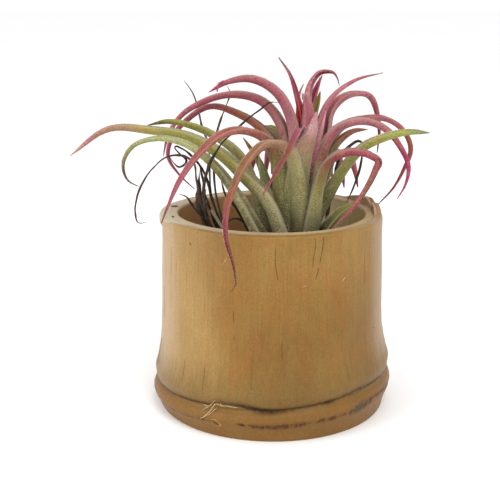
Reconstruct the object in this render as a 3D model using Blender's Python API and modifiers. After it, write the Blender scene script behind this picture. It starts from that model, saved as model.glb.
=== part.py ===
"""A pink-flushed air plant standing in a cup cut from bamboo.

The origin is the middle of the cup's foot, +Z is up and -Y is the front.
Every size below is in millimetres, and becomes metres where a mesh is made.
"""

import math
import random

import bmesh
import bpy
from mathutils import Vector
from mathutils.geometry import interpolate_bezier

MM = 0.001

# The cup: a length of bamboo culm, cut square, with its node ring near the foot
RIM_HEIGHT = 71.5
RIM_RADIUS = 39.9
BORE_RADIUS = 33.4
FLOOR_TOP = 8.0
CUP_STEPS = 56
RING_CLIMB = 0.055
FLAP_INNER_RADIUS = 37.0
FLAP_HEIGHT = 3.0
FLAP_LEAN = 1.2
FLAP_START = math.radians(-14)
FLAP_END = math.radians(42)

# The plant: its stem stands on the cup's floor, a little to the right of the middle
STEM_X = 10.0
STEM_Y = 2.0
STEM_RADIUS = 3.0
GAP = 0.3
STEM_FOOT = FLOOR_TOP + GAP
STEM_TOP = 50.0

# A living leaf: a channelled blade, thickest along its midrib
LEAF_CUTS = 2
LEAF_THICKNESS = 1.0
LEAF_TIP_WIDTH = 0.9
ROOT_OUT = 1.5
ROOT_WIDTH = 0.15
ROOT_END = 0.25
BASE_FLARE = 2.3
FACING = 0.5

# The dead leaves and the collar of old sheaths that they grow from
COLLAR_BORE = 3.5
COLLAR_RADIUS = 5.4
COLLAR_TOP = 29.0
STRAND_CUTS = 2
STRAND_SIDES = 5

# Leaves hidden at the back, placed by the golden angle
HIDDEN_LEAVES = 8
HIDDEN_SEED = 11
HIDDEN_ROOT = 34.0
HIDDEN_WIDTH = 8.5
HIDDEN_TAPER = 5
HIDDEN_FOLD = 40
GOLDEN_TURN = 0.618

# Each leaf: name, height of its root on the stem, width, how suddenly it narrows at the tip,
# fold of its channel in degrees, and the points its midrib passes through from stem to tip.
LEAVES = (
    ("left_long", 33, 11.5, 5, 42, (
        (2.5, -13, 69.5), (-1.5, -12, 78), (-9, -9, 85), (-17.5, -6, 92.5),
        (-29, -3.5, 98.5), (-44, -2, 101), (-57.5, -2, 101.5), (-72, -4, 92))),
    ("left_top", 36, 9.5, 6, 42, (
        (-4, -5, 71), (-6.5, -1, 81), (-11.5, 2, 91), (-18, 3, 96.5), (-28, 3, 101.5),
        (-37.5, 2, 103.5), (-44.5, 0, 102.5))),
    ("left_curl", 31, 9.5, 2.2, 42, (
        (-7, -16, 70.5), (-12.5, -15.5, 80.5), (-21.5, -13, 91.5), (-32, -10.5, 98),
        (-41.5, -10, 99), (-49, -10, 96), (-52, -11, 89.5), (-50.5, -12, 85), (-46.5, -14, 83))),
    ("arc_top", 40, 10.5, 6, 40, (
        (8, 2, 80), (8, 2, 93.5), (6, 3, 105.5), (1, 3, 114),
        (-7.5, 2, 118.5), (-15.5, -2, 118), (-22, -8, 115))),
    ("arc_mid", 38, 10.5, 3, 42, (
        (5, 6, 82), (5, 6, 93), (2.5, 8, 102.5), (-4, 9, 110), (-14.5, 9, 112.5),
        (-24.5, 10, 110), (-34, 10, 104), (-39, 9, 95), (-40, 8, 90))),
    ("arc_low", 36, 11.0, 1.5, 42, (
        (2, 7, 80), (1.5, 8, 92.5), (-4, 12, 99.5), (-13, 14, 105), (-23, 15, 107.5),
        (-31.5, 16, 102.5), (-37.5, 16, 95.5), (-39, 16, 88.5), (-35.5, 14, 83), (-29, 12, 77))),
    ("front_left", 34, 10.5, 1.8, 42, (
        (3, -7, 77), (1.5, -9, 90), (-3.5, -13, 100), (-11, -17.5, 103), (-17, -21.5, 102),
        (-24, -25.5, 96.5), (-30.5, -28, 88), (-35, -27.5, 78.5), (-37.5, -25, 72.5))),
    ("front_fall", 33, 11.5, 1.3, 44, (
        (9.2, -10.3, 72), (8, -15, 87.5), (4.5, -20, 97.5), (-1.5, -24, 99.5), (-7.5, -30, 95.5),
        (-12, -36, 88), (-14.5, -41, 80.5), (-14.5, -44, 71.5), (-12.5, -44, 64), (-11.5, -43, 56.5))),
    ("top_spire", 44, 12.0, 1.5, 46, (
        (10, 6, 90), (10.5, 5, 103), (8.5, 5, 112.5), (6, 5, 120), (2, 5, 126))),
    ("top_fold", 43, 14.0, 2.6, -60, (
        (11.5, 0.5, 85), (12.4, 4, 106), (12.8, 8, 111.5), (13.4, 10.5, 114.6), (14.8, 12.5, 117.4),
        (17.2, 14, 119.8),
        (19.8, 12.5, 120.3), (21.5, 10.5, 120.1), (22.8, 8, 118.6), (23.7, 5, 116))),
    ("inside_fold", 44, 9.0, 6, 35, (
        (12.5, 5, 96), (13, 8, 104), (14.2, 10, 109.4), (15.7, 12, 113.5), (17, 13.5, 116.8),
        (18, 14, 119))),
    ("behind_fold", 43, 6.5, 3, 40, (
        (10, 13, 100), (9.5, 15, 108), (10, 16, 112.5), (11.3, 16, 115.7))),
    ("olive_behind", 42, 9.0, 8, 40, (
        (14, 9, 97), (15.1, 11, 105.3), (16.4, 13, 109.1), (17.4, 14, 113.2))),
    ("crown_tip", 42, 8.0, 5, 40, (
        (12.5, -7, 98.5), (13, -8, 106), (12, -10, 112), (10.5, -14, 115), (10, -17, 113.5))),
    ("broad_pale", 40, 14.0, 6, 30, (
        (9, -9, 75.5), (9.3, -11, 85.7), (10.7, -12.5, 92.9), (12.5, -14, 98.7),
        (13.8, -15, 103), (14.8, -16, 109.2))),
    ("beside_pale", 39, 7.5, 3, 38, (
        (14.3, -4.6, 80), (14.7, -6, 89.4), (15.5, -8, 95.4), (17.1, -9, 102.2), (18.4, -9, 108.7))),
    ("toward_viewer", 38, 8.0, 1.6, 45, (
        (9, -4, 84.5), (9.5, -7, 98.5), (9.5, -13, 103.5), (7.5, -21, 101.5), (4.5, -28, 96.5),
        (1, -35, 91.5), (-3, -40, 85.5))),
    ("right_spire", 42, 11.0, 1.7, 38, (
        (13, -2, 87), (16, 2, 100.5), (21, 6, 111.5), (29.5, 10, 117.5), (40, 14, 120))),
    ("right_hook", 40, 12.5, 1.8, 40, (
        (15, 4, 82), (19, 8, 96), (21.5, 12, 106.5), (28, 17, 111.5), (35.5, 21, 111),
        (39.5, 24, 103), (40.5, 25, 96), (40, 25, 89))),
    ("right_arc", 37, 11.5, 2.3, 42, (
        (15.5, -4, 82), (17.5, -4, 92.5), (22.5, -3, 101.5), (30.5, -3, 104.5), (38.5, -3, 102.5),
        (45, -4, 95.5), (48, -5, 88.5), (47, -7, 83), (44, -9, 78))),
    ("right_back_arc", 36, 9.5, 1.5, 42, (
        (17, 9, 82), (21, 13, 94.5), (26.5, 16, 100.5), (33.5, 18, 102.5), (42, 20, 102.5),
        (49, 22, 98), (52.5, 24, 90.5), (50.5, 26, 82.5), (47, 26, 75.5), (40.5, 24, 68.5))),
    ("right_green", 33, 10.5, 8, 42, (
        (15.5, -6, 69.5), (20.5, -7, 80), (25.5, -8, 89), (31, -10, 96),
        (38.5, -12, 100), (46.5, -13, 102), (53.5, -14, 102))),
    ("right_short_brown", 35, 10.5, 6, 40, (
        (16.5, 5, 78.5), (19.5, 8, 88), (24, 10, 95), (30, 12, 99), (35, 13, 99.5))),
    ("right_kink", 34, 10.0, 2.2, 42, (
        (15, -12, 73), (16.5, -15, 84), (20, -19, 93.5), (26, -22, 96.5), (33, -24.5, 95.5),
        (35, -25.5, 94), (34.2, -26.5, 91.8), (31, -30, 86), (25.5, -35, 79.5), (19.5, -39, 74.5))),
    ("right_low_green", 32, 12.0, 5, 35, (
        (17.8, -12.6, 65.5), (20.3, -15, 70), (23.5, -16, 74.3), (26.2, -15, 76.3), (29, -14, 77.9))),
    ("right_grey", 34, 8.0, 4, 38, (
        (17.5, 3, 73), (20, 4, 82), (22.5, 5, 88.5))),
    ("back_green", 35, 10.0, 6, 40, (
        (3.5, 12, 84.5), (3, 17, 95), (-1.5, 22, 99), (-5.5, 26, 96))),
    ("back_brownish", 33, 9.0, 4, 40, (
        (-1.5, 8, 77.5), (-6, 12, 89), (-9.5, 14, 94), (-11, 15, 96))),
    ("pale_upright", 36, 9.0, 4, 40, (
        (-1, 4, 74.5), (-4, 6, 84.5), (-5, 7, 91))),
)

# Each dead leaf: thickness at its root and at its tip, and its points from the collar to the tip
STRANDS = (
    ("trunk", 4.4, 0.9, (
        (-23, -13, 69.5), (-24.8, -14, 74), (-25.5, -15, 77.5), (-25.3, -16, 81.5), (-25, -17, 89))),
    ("long_left", 1.4, 0.7, (
        (-24, -16, 76), (-26, -17.5, 86), (-27, -17, 92), (-29.5, -17, 94), (-33, -17, 94.5),
        (-36, -18, 94), (-40.5, -19, 90.5), (-44.5, -20, 85), (-46.5, -20, 79.5),
        (-47, -20, 74.5), (-46, -20, 71.5), (-43.5, -20, 71.5))),
    ("long_right", 1.6, 0.7, (
        (-23, -16, 74), (-23.5, -18.5, 83.5), (-21.5, -19.5, 91.5), (-18, -11, 97),
        (-13, -4, 102), (-4.5, -2, 107.5), (1.5, -2, 111))),
    ("second", 1.6, 0.8, (
        (-19.5, -13, 69), (-21.5, -14, 75), (-23, -15, 79.5), (-24, -14, 85.5), (-25.5, -12, 91))),
    ("curl", 1.4, 0.7, (
        (-21.5, -4, 76), (-24, -2, 85), (-28.5, 0, 91), (-33, 2, 94), (-35, 2.5, 94.5),
        (-33.5, 2, 92), (-31, 1, 89.5), (-32, 0, 88), (-33.5, 0, 87.5), (-35.5, 0, 89),
        (-37, 1, 91))),
    ("grey_top", 1.2, 0.7, (
        (-22, 0, 77.5), (-23.5, 8, 95), (-26.5, 20, 99), (-28.5, 22, 107.5), (-30, 21, 112),
        (-33, 20, 116.5))),
    ("grey_mid", 1.2, 0.7, (
        (-20.5, 2, 77), (-21.5, 8, 88.5), (-19.5, 20, 102), (-17.5, 20, 107), (-16, 18, 113),
        (-17, 17, 115))),
    ("short_left", 1.3, 0.7, (
        (-25.5, -8, 71.5), (-28.5, -5, 74.5), (-31, -2, 77), (-34.5, 1, 77.5))),
    ("scurfy", 2.2, 0.9, (
        (-17, -14, 67.5), (-20.5, -14, 73.5), (-23.5, -13, 78), (-23, -12, 82))),
    ("fork", 1.8, 0.9, (
        (-12.8, -9, 74.4), (-14.6, -8, 76.7), (-16, -8, 78.2), (-18, -7, 84))),
    ("low_loop", 1.4, 0.9, (
        (-8, -17, 64), (-8.7, -17, 69), (-10.6, -17, 71.9), (-14, -18, 72.4), (-15.9, -19, 71))),
    ("right_kinked", 1.6, 0.9, (
        (19, -1, 62), (20, -1, 70), (22, -1, 81.5), (24.5, -2, 92.5), (27, -3, 95.5),
        (31, -4, 97.5), (31.5, -5, 93), (29.5, -6, 83.5), (26.5, -6, 76))),
)


def clear_scene():
    for item in list(bpy.data.objects):
        bpy.data.objects.remove(item, do_unlink=True)


def new_collection(name):
    collection = bpy.data.collections.new(name)
    bpy.context.scene.collection.children.link(collection)
    return collection


def material(name, colour, roughness, metallic=0.0):
    made = bpy.data.materials.new(name)
    made.use_nodes = True
    shader = made.node_tree.nodes["Principled BSDF"]
    shader.inputs["Base Color"].default_value = (*colour, 1.0)
    shader.inputs["Roughness"].default_value = roughness
    shader.inputs["Metallic"].default_value = metallic
    return made


def object_from(name, vertices, faces, collection, finish):
    mesh = bpy.data.meshes.new(name)
    mesh.from_pydata([Vector(v) * MM for v in vertices], [], faces)
    mesh.materials.append(finish)
    made = bpy.data.objects.new(name, mesh)
    collection.objects.link(made)
    return made


def shade_smooth(item):
    for face in item.data.polygons:
        face.use_smooth = True


def turned(name, profile, steps, collection, finish, middle=(0.0, 0.0), ring=False):
    """A profile of (radius, height) pairs turned round a vertical axis, closed on itself for a ring."""
    edges = [(i, i + 1) for i in range(len(profile) - 1)]
    if ring:
        edges.append((len(profile) - 1, 0))
    mesh = bpy.data.meshes.new(name)
    mesh.from_pydata([Vector((r, 0.0, z)) * MM for r, z in profile], edges, [])
    mesh.materials.append(finish)
    made = bpy.data.objects.new(name, mesh)
    made.location = (middle[0] * MM, middle[1] * MM, 0.0)
    collection.objects.link(made)
    screw = made.modifiers.new("turn", "SCREW")
    screw.axis = "Z"
    screw.steps = steps
    screw.render_steps = steps
    screw.use_merge_vertices = True
    screw.merge_threshold = 0.00005
    screw.use_smooth_shade = True
    return made


def apply_modifiers(item):
    """Bakes the modifiers and the object's place into its mesh."""
    bpy.context.view_layer.update()
    shown = item.evaluated_get(bpy.context.evaluated_depsgraph_get())
    mesh = bpy.data.meshes.new_from_object(shown)
    mesh.transform(item.matrix_world)
    item.modifiers.clear()
    item.data = mesh
    item.location = (0.0, 0.0, 0.0)


def curve_through(points, cuts):
    """A smooth curve through the points, with each span cut into the same number of steps."""
    knots = [Vector(p) for p in points]
    spans = [b - a for a, b in zip(knots, knots[1:])]
    headings = [spans[0].normalized()]
    for before, after in zip(spans, spans[1:]):
        blend = before.normalized() * after.length + after.normalized() * before.length
        headings.append(blend.normalized())
    headings.append(spans[-1].normalized())
    route = []
    for i, span in enumerate(spans):
        reach = span.length / 3
        start_handle = knots[i] + headings[i] * reach
        end_handle = knots[i + 1] - headings[i + 1] * reach
        route += interpolate_bezier(knots[i], start_handle, end_handle, knots[i + 1], cuts + 1)[:-1]
    route.append(knots[-1])
    return route


def shares_along(route):
    """How far along the route each point lies, from 0 at the root to 1 at the tip."""
    travelled = [0.0]
    for before, after in zip(route, route[1:]):
        travelled.append(travelled[-1] + (after - before).length)
    return [distance / travelled[-1] for distance in travelled]


def bend_axis(route, outward):
    """The sideways direction that a leaf arches about."""
    axis = Vector((-outward.y, outward.x, 0.0)) * FACING
    for a, b, c in zip(route, route[1:], route[2:]):
        axis += (b - a).normalized().cross((c - b).normalized())
    return axis.normalized()


def loft(sections):
    """Skins rings of points that all have the same count, and closes both ends."""
    sides = len(sections[0])
    vertices = [point for ring in sections for point in ring]
    faces = []
    for i in range(len(sections) - 1):
        low = i * sides
        for j in range(sides):
            k = (j + 1) % sides
            faces.append((low + j, low + k, low + sides + k, low + sides + j))
    first = len(vertices)
    vertices.append(sum(sections[0], Vector()) / sides)
    vertices.append(sum(sections[-1], Vector()) / sides)
    last = len(vertices) - 2 - sides
    for j in range(sides):
        k = (j + 1) % sides
        faces.append((first, k, j))
        faces.append((first + 1, last + j, last + k))
    return vertices, faces


def frames_along(route, axis):
    """At each point of the route: its heading, and a sideways direction that stays near the axis."""
    frames = []
    side = axis
    for i, point in enumerate(route):
        ahead = route[min(i + 1, len(route) - 1)]
        behind = route[max(i - 1, 0)]
        along = (ahead - behind).normalized()
        side = side + axis * 0.5
        side = (side - along * side.dot(along)).normalized()
        frames.append((point, along, side))
    return frames


def leaf_width(share, width, taper):
    """Narrow at the buried root, widest just above it, then slender to the tip."""
    rise = ROOT_WIDTH + (1 - ROOT_WIDTH) * min(share / ROOT_END, 1.0)
    flare = 1 + BASE_FLARE * (1 - share) ** 4
    fall = (1 - 0.35 * share) * (1 - share ** taper)
    return LEAF_TIP_WIDTH + (width - LEAF_TIP_WIDTH) * rise * flare * fall


def leaf_blade(name, root_height, width, taper, fold, points, collection, finish):
    """A tapering blade folded up along its midrib, its open side toward the stem's axis."""
    axis = Vector((STEM_X, STEM_Y, root_height))
    outward = Vector((points[0][0] - STEM_X, points[0][1] - STEM_Y, 0.0)).normalized()
    route = curve_through([axis + outward * ROOT_OUT, *points], LEAF_CUTS)
    frames = frames_along(route, bend_axis(route, outward))
    angle = math.radians(fold)
    sections = []
    for share, (point, along, side) in zip(shares_along(route), frames):
        upper = along.cross(side)
        half = leaf_width(share, width, taper) / 2
        thickness = LEAF_THICKNESS * (1 - 0.25 * share)
        depth = half * math.sin(angle)
        midrib = point - upper * (depth - thickness) / 2
        reach = side * half * math.cos(angle)
        lift = upper * depth
        below = upper * thickness
        sections.append([
            midrib - reach + lift,
            midrib - reach + lift - below,
            midrib - below,
            midrib + reach + lift - below,
            midrib + reach + lift,
            midrib,
        ])
    vertices, faces = loft(sections)
    return object_from(name, vertices, faces, collection, finish)


def hidden_leaf_points(number, draw):
    """An arching leaf behind the plant, reaching out and down over the back of the cup."""
    across = 2 * (number * GOLDEN_TURN % 1.0) - 1
    azimuth = math.radians(92 + 38 * across)
    reach = draw.uniform(0.9, 1.15) - 0.2 * abs(across)
    height = draw.uniform(-5.0, 0.0) - 5 * abs(across)
    arch = ((9, 68), (14, 82), (21, 92), (30, 97), (39, 95), (46, 87), (50, 77))
    points = []
    for out, up in arch:
        level = up + height * (up - 60) / 35
        points.append((
            STEM_X + out * reach * math.cos(azimuth),
            STEM_Y + out * reach * math.sin(azimuth),
            level,
        ))
    return points


def strand_tube(name, thick, thin, points, collection, finish):
    """A withered leaf, dried to a thin round strand, from the collar out to its tip."""
    outward = Vector((points[0][0] - STEM_X, points[0][1] - STEM_Y, 0.0)).normalized()
    root = Vector((STEM_X, STEM_Y, COLLAR_TOP - 8)) + outward * (COLLAR_BORE + GAP + thick / 2)
    elbow = root + outward * 4 + Vector((0.0, 0.0, 9.0))
    route = curve_through([root, elbow, *points], STRAND_CUTS)
    frames = frames_along(route, Vector((-outward.y, outward.x, 0.0)))
    sections = []
    for share, (point, along, side) in zip(shares_along(route), frames):
        radius = (thick + (thin - thick) * share) / 2
        upper = along.cross(side)
        sections.append([
            point + (side * math.cos(turn) + upper * math.sin(turn)) * radius
            for turn in (2 * math.pi * j / STRAND_SIDES for j in range(STRAND_SIDES))
        ])
    vertices, faces = loft(sections)
    return object_from(name, vertices, faces, collection, finish)


def fuse(body, pieces):
    """One Boolean union of a body with every piece in a collection, which is then emptied."""
    union = body.modifiers.new("fuse", "BOOLEAN")
    union.operation = "UNION"
    union.operand_type = "COLLECTION"
    union.collection = pieces
    union.solver = "MANIFOLD"
    union.use_self = False
    apply_modifiers(body)
    for item in list(pieces.objects):
        bpy.data.objects.remove(item, do_unlink=True)
    bpy.data.collections.remove(pieces)


def keep_largest_shell(item):
    """Fills hollows that the union sealed and drops loose scraps, by keeping the outer shell."""
    shape = bmesh.new()
    shape.from_mesh(item.data)
    waiting = set(shape.verts)
    shells = []
    while waiting:
        start = waiting.pop()
        shell = {start}
        reached = [start]
        while reached:
            vertex = reached.pop()
            for edge in vertex.link_edges:
                other = edge.other_vert(vertex)
                if other not in shell:
                    shell.add(other)
                    reached.append(other)
        waiting -= shell
        shells.append(shell)
    largest = max(shells, key=len)
    for shell in shells:
        if shell is not largest:
            bmesh.ops.delete(shape, geom=list(shell), context="VERTS")
    bmesh.ops.triangulate(shape, faces=shape.faces)
    shape.to_mesh(item.data)
    shape.free()


def cup_profile():
    """The cup's half section as (radius, height): up the bore, over the rim, down the outside."""
    inside = [(0.0, FLOOR_TOP), (16.0, FLOOR_TOP), (BORE_RADIUS - 3.0, FLOOR_TOP),
              (BORE_RADIUS - 0.8, FLOOR_TOP + 1.2), (BORE_RADIUS, FLOOR_TOP + 4.0),
              (BORE_RADIUS, 40.0), (BORE_RADIUS, RIM_HEIGHT - 0.5)]
    rim = [(BORE_RADIUS + 0.5, RIM_HEIGHT), (36.5, RIM_HEIGHT), (38.3, RIM_HEIGHT),
           (RIM_RADIUS - 0.3, RIM_HEIGHT - 0.1), (RIM_RADIUS, RIM_HEIGHT - 0.6)]
    wall = [(RIM_RADIUS, 62.0), (40.3, 50.0), (40.5, 38.0), (40.9, 29.0), (41.5, 23.8)]
    node = [(42.3, 19.6), (43.3, 16.4), (43.1, 14.4), (42.9, 12.5), (42.2, 11.8), (42.3, 11.2),
            (43.5, 10.1), (44.2, 8.2), (43.8, 6.2), (42.8, 4.2)]
    foot = [(42.1, 2.2), (41.8, 0.7), (41.2, 0.0), (20.0, 0.0), (0.0, 0.0)]
    return inside + rim + wall + node + foot


def bump(value, low, high):
    """A smooth hump between two limits, 1 in the middle and 0 outside."""
    if not low < value < high:
        return 0.0
    return math.sin(math.pi * (value - low) / (high - low)) ** 0.7


def grown_offset(x, y, z):
    """How far a point of the turned cup moves, because the culm grew and was not turned."""
    radius = math.hypot(x, y)
    azimuth = math.atan2(y, x)
    climb = RING_CLIMB * x * bump(z, 0.5, 32.0) if radius > BORE_RADIUS + 1 else 0.0
    swell = 0.0
    if radius > BORE_RADIUS + 3:
        swell = 0.25 * math.cos(2 * azimuth + 0.6) + 0.12 * math.cos(5 * azimuth)
        swell *= bump(z, 0.5, 30.0)
    if z > RIM_HEIGHT - 1 and radius < BORE_RADIUS + 1:
        swell += 0.4 * math.cos(2 * azimuth + 0.5) - 0.3 * math.cos(3 * azimuth)
    flap = 0.0
    if z > RIM_HEIGHT - 1 and radius > FLAP_INNER_RADIUS:
        flap = FLAP_HEIGHT * bump(azimuth, FLAP_START, FLAP_END)
        flap *= 1 - 0.6 * bump(azimuth, math.radians(4), math.radians(14))
    lean = -FLAP_LEAN * flap / FLAP_HEIGHT
    return swell + lean, climb + flap


def bamboo_cup(collection):
    """The cup, turned and then given the flap of skin, the tilted node ring and an uneven bore."""
    finish = material("bamboo", (0.42, 0.25, 0.10), 0.5)
    cup = turned("bamboo_cup", cup_profile(), CUP_STEPS, collection, finish)
    apply_modifiers(cup)
    for vertex in cup.data.vertices:
        x, y, z = vertex.co / MM
        radius = math.hypot(x, y)
        if radius < 1:
            continue
        outward, upward = grown_offset(x, y, z)
        scale = (radius + outward) / radius
        vertex.co = Vector((x * scale, y * scale, z + upward)) * MM
    shade_smooth(cup)
    return cup


def leaf_rosette(collection):
    """The living plant: a short stem with every leaf fused to it."""
    finish = material("living_leaf", (0.36, 0.25, 0.16), 0.6)
    profile = [(0.0, STEM_TOP), (3.4, STEM_TOP - 2), (5.0, 44.0), (4.6, 34.0),
               (STEM_RADIUS, 30.0), (STEM_RADIUS, STEM_FOOT + 1), (2.2, STEM_FOOT), (0.0, STEM_FOOT)]
    stem = turned("leaf_rosette", profile, 12, collection, finish, (STEM_X, STEM_Y))
    blades = new_collection("blades")
    for name, root_height, width, taper, fold, points in LEAVES:
        leaf_blade(name, root_height, width, taper, fold, points, blades, finish)
    draw = random.Random(HIDDEN_SEED)
    for number in range(HIDDEN_LEAVES):
        points = hidden_leaf_points(number, draw)
        leaf_blade(f"hidden_{number}", HIDDEN_ROOT + number, HIDDEN_WIDTH, HIDDEN_TAPER, HIDDEN_FOLD,
                   points, blades, finish)
    apply_modifiers(stem)
    fuse(stem, blades)
    keep_largest_shell(stem)
    shade_smooth(stem)
    return stem


def dry_leaves(collection):
    """The dead leaves: a collar of old sheaths with withered strands rising from it."""
    finish = material("dry_leaf", (0.09, 0.06, 0.04), 0.8)
    profile = [(COLLAR_BORE, COLLAR_TOP), (COLLAR_BORE + 0.9, COLLAR_TOP), (COLLAR_RADIUS, 24.0),
               (COLLAR_RADIUS - 0.3, 17.5), (COLLAR_RADIUS + 0.5, 16.5), (COLLAR_RADIUS, 9.5),
               (COLLAR_RADIUS - 0.6, STEM_FOOT), (COLLAR_BORE, STEM_FOOT)]
    collar = turned("dry_leaves", profile, 16, collection, finish, (STEM_X, STEM_Y), ring=True)
    strands = new_collection("strands")
    for name, thick, thin, points in STRANDS:
        strand_tube(name, thick, thin, points, strands, finish)
    apply_modifiers(collar)
    fuse(collar, strands)
    keep_largest_shell(collar)
    shade_smooth(collar)
    return collar


def main():
    clear_scene()
    plant = new_collection("air_plant_in_bamboo_cup")
    bamboo_cup(plant)
    leaf_rosette(plant)
    dry_leaves(plant)


main()
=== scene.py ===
"""The look of a pink-flushed air plant standing in a cup cut from bamboo.

The frame is the CAD's: the origin is the middle of the cup's foot, +Z is up and -Y is the front.
Sizes are in millimetres, and become metres where a mesh is made. Azimuths are in degrees in the
tables and in radians elsewhere, with -90 degrees at the front and 0 at the right.
"""

import math
import random

import bpy
import numpy as np
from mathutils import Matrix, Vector, noise
from mathutils.geometry import interpolate_bezier


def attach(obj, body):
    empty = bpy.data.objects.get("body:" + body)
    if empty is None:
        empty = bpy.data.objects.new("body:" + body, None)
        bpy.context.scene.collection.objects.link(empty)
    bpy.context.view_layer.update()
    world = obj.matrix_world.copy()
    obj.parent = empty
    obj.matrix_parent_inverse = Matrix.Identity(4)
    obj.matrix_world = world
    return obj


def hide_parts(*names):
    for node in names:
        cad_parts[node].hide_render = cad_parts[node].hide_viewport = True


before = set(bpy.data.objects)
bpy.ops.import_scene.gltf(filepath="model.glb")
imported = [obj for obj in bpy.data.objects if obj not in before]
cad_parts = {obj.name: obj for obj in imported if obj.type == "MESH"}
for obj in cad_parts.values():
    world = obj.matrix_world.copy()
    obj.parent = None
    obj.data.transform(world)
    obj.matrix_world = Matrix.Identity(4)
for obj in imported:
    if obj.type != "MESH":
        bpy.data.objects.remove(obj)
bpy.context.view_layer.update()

MM = 0.001

# The camera, which stands where the photograph was taken from
CAMERA_PLACE = (0.0, -350.0, 148.3)
CAMERA_TURN = (1.3150, 0.0, 0.0229)
CAMERA_LENS = 70.96

# The cup, as in the CAD
RIM_HEIGHT = 71.5
RIM_RADIUS = 39.9
BORE_RADIUS = 33.4
FLOOR_TOP = 8.0
RING_CLIMB = 0.055
FLAP_INNER_RADIUS = 37.0
FLAP_HEIGHT = 3.0
FLAP_LEAN = 1.2
FLAP_START = math.radians(-14)
FLAP_END = math.radians(42)

# Finer forms of the cup: the fold and the notch of the flap, the inner edge of the skin on the
# cut face, and how unevenly the culm grew
FLAP_FOLD = 38.3
FLAP_NOTCH_START = math.radians(4)
FLAP_NOTCH_END = math.radians(14)
FLAP_NOTCH_DEPTH = 0.6
CUT_FACE_RADIUS = 37.5
LEFT_BULGE = 0.9
BORE_EVEN_HEIGHT = 50.0
SWELL = 0.25
FINE_SWELL = 0.12
BORE_SWELL = 0.4
FINE_BORE_SWELL = 0.3
NODE_TOP = 32.0

# The relief of the cup's skin and cut face
GROOVE_DEPTH = 0.5
SCAR_DEPTH = 0.35
WEAR_DEPTH = 0.15
STREAK_RELIEF = 0.05
FACE_RELIEF = 0.12
RING_WIDTH = 1.25

# The strips on the cup's skin, and where the noise of each kind of strip starts
MARK_THICKNESS = 0.16
MARK_LIFT = 0.02
FACE_MARK_LIFT = 0.1
DRIED_NOISE = 40
FACE_NOISE = 50
LINE_NOISE = 60
LEVEL_ROUNDS = 3
LINE_SEED = 3
FIBRE_LINES = 60
LINE_STARTS = (13.5, 30.0, 48.0)
LINE_SHADES = ("skin_dark", "skin_fibre_and_low_shade", "skin_straw_and_left_light")
LINE_THICKNESS = 0.12

# How finely the cup and the strips on it are cut
FRONT_STEP = math.radians(0.6)
BACK_STEP = math.radians(1.2)
FRONT_START = math.radians(220)
FRONT_END = math.radians(340)
FINE_ROW = 0.33
WALL_ROW = 1.3
BORE_ROW = 3.0
SOFTENINGS = 2
STRIP_CUTS = 6
STRIP_SIDES = 6

# The cup's half section in runs of radius and height: from the middle of its floor, up the bore,
# over the rim, down the wall and the node, and in under the foot
CUP_INSIDE = (
    (1.0, FLOOR_TOP), (16.0, FLOOR_TOP), (BORE_RADIUS - 3.0, FLOOR_TOP),
    (BORE_RADIUS - 0.8, FLOOR_TOP + 1.2), (BORE_RADIUS, FLOOR_TOP + 4.0), (BORE_RADIUS, 40.0),
    (BORE_RADIUS, RIM_HEIGHT - 1.0), (BORE_RADIUS, RIM_HEIGHT - 0.5),
)
CUP_RIM = (
    (BORE_RADIUS, RIM_HEIGHT - 0.5), (BORE_RADIUS + 0.5, RIM_HEIGHT), (36.5, RIM_HEIGHT),
    (38.3, RIM_HEIGHT), (RIM_RADIUS - 0.3, RIM_HEIGHT - 0.1), (RIM_RADIUS, RIM_HEIGHT - 0.6),
    (RIM_RADIUS, RIM_HEIGHT - 4),
)
CUP_WALL = ((RIM_RADIUS, RIM_HEIGHT - 4), (RIM_RADIUS, 62.0), (40.3, 50.0), (40.5, 38.0), (40.9, 29.0))
CUP_NODE = (
    (40.9, 29.0), (41.5, 23.8), (42.3, 19.6), (43.3, 16.4), (43.1, 14.4), (42.9, 12.5), (42.2, 11.8),
    (42.3, 11.2), (43.5, 10.1), (44.2, 8.2), (43.8, 6.2), (42.8, 4.2), (42.1, 2.2), (41.8, 0.7),
    (41.2, 0.0),
)
CUP_FOOT = ((41.2, 0.0), (20.0, 0.0), (1.0, 0.0))
CUP_RUNS = (
    (CUP_INSIDE, BORE_ROW), (CUP_RIM, FINE_ROW), (CUP_WALL, WALL_ROW), (CUP_NODE, FINE_ROW),
    (CUP_FOOT, BORE_ROW),
)

# The stem and the leaves that stand on it, as in the CAD, but with finer tips
STEM_X = 10.0
STEM_Y = 2.0
STEM_RADIUS = 3.0
GAP = 0.3
STEM_FOOT = FLOOR_TOP + GAP
STEM_TOP = 50.0
STEM_SIDES = 20
STEM_PROFILE = (
    (2.2, STEM_FOOT), (STEM_RADIUS, STEM_FOOT + 1), (STEM_RADIUS, 30.0), (4.6, 34.0), (5.0, 44.0),
    (3.4, STEM_TOP - 2),
)
LEAF_THICKNESS = 1.0
LEAF_TIP_WIDTH = 0.35
ROOT_OUT = 1.5
ROOT_WIDTH = 0.15
ROOT_END = 0.25
BASE_FLARE = 2.3
FACING = 0.5

# How finely a leaf is cut, its thin pale margins, and the shade painted in its channel and base
LEAF_CUTS = 7
LEAF_ACROSS = 11
MARGIN_THICKNESS = 0.14
MARGIN_TINT_SHARE = 0.55
MARGIN_SILVER = 0.4
EDGE_WANDER = 0.06
CHANNEL_SHADE = 0.75
SHADED_BASE = 0.5
SHADE_START = 64
SHADE_END = 82
PLACE_APART = 20

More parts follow.
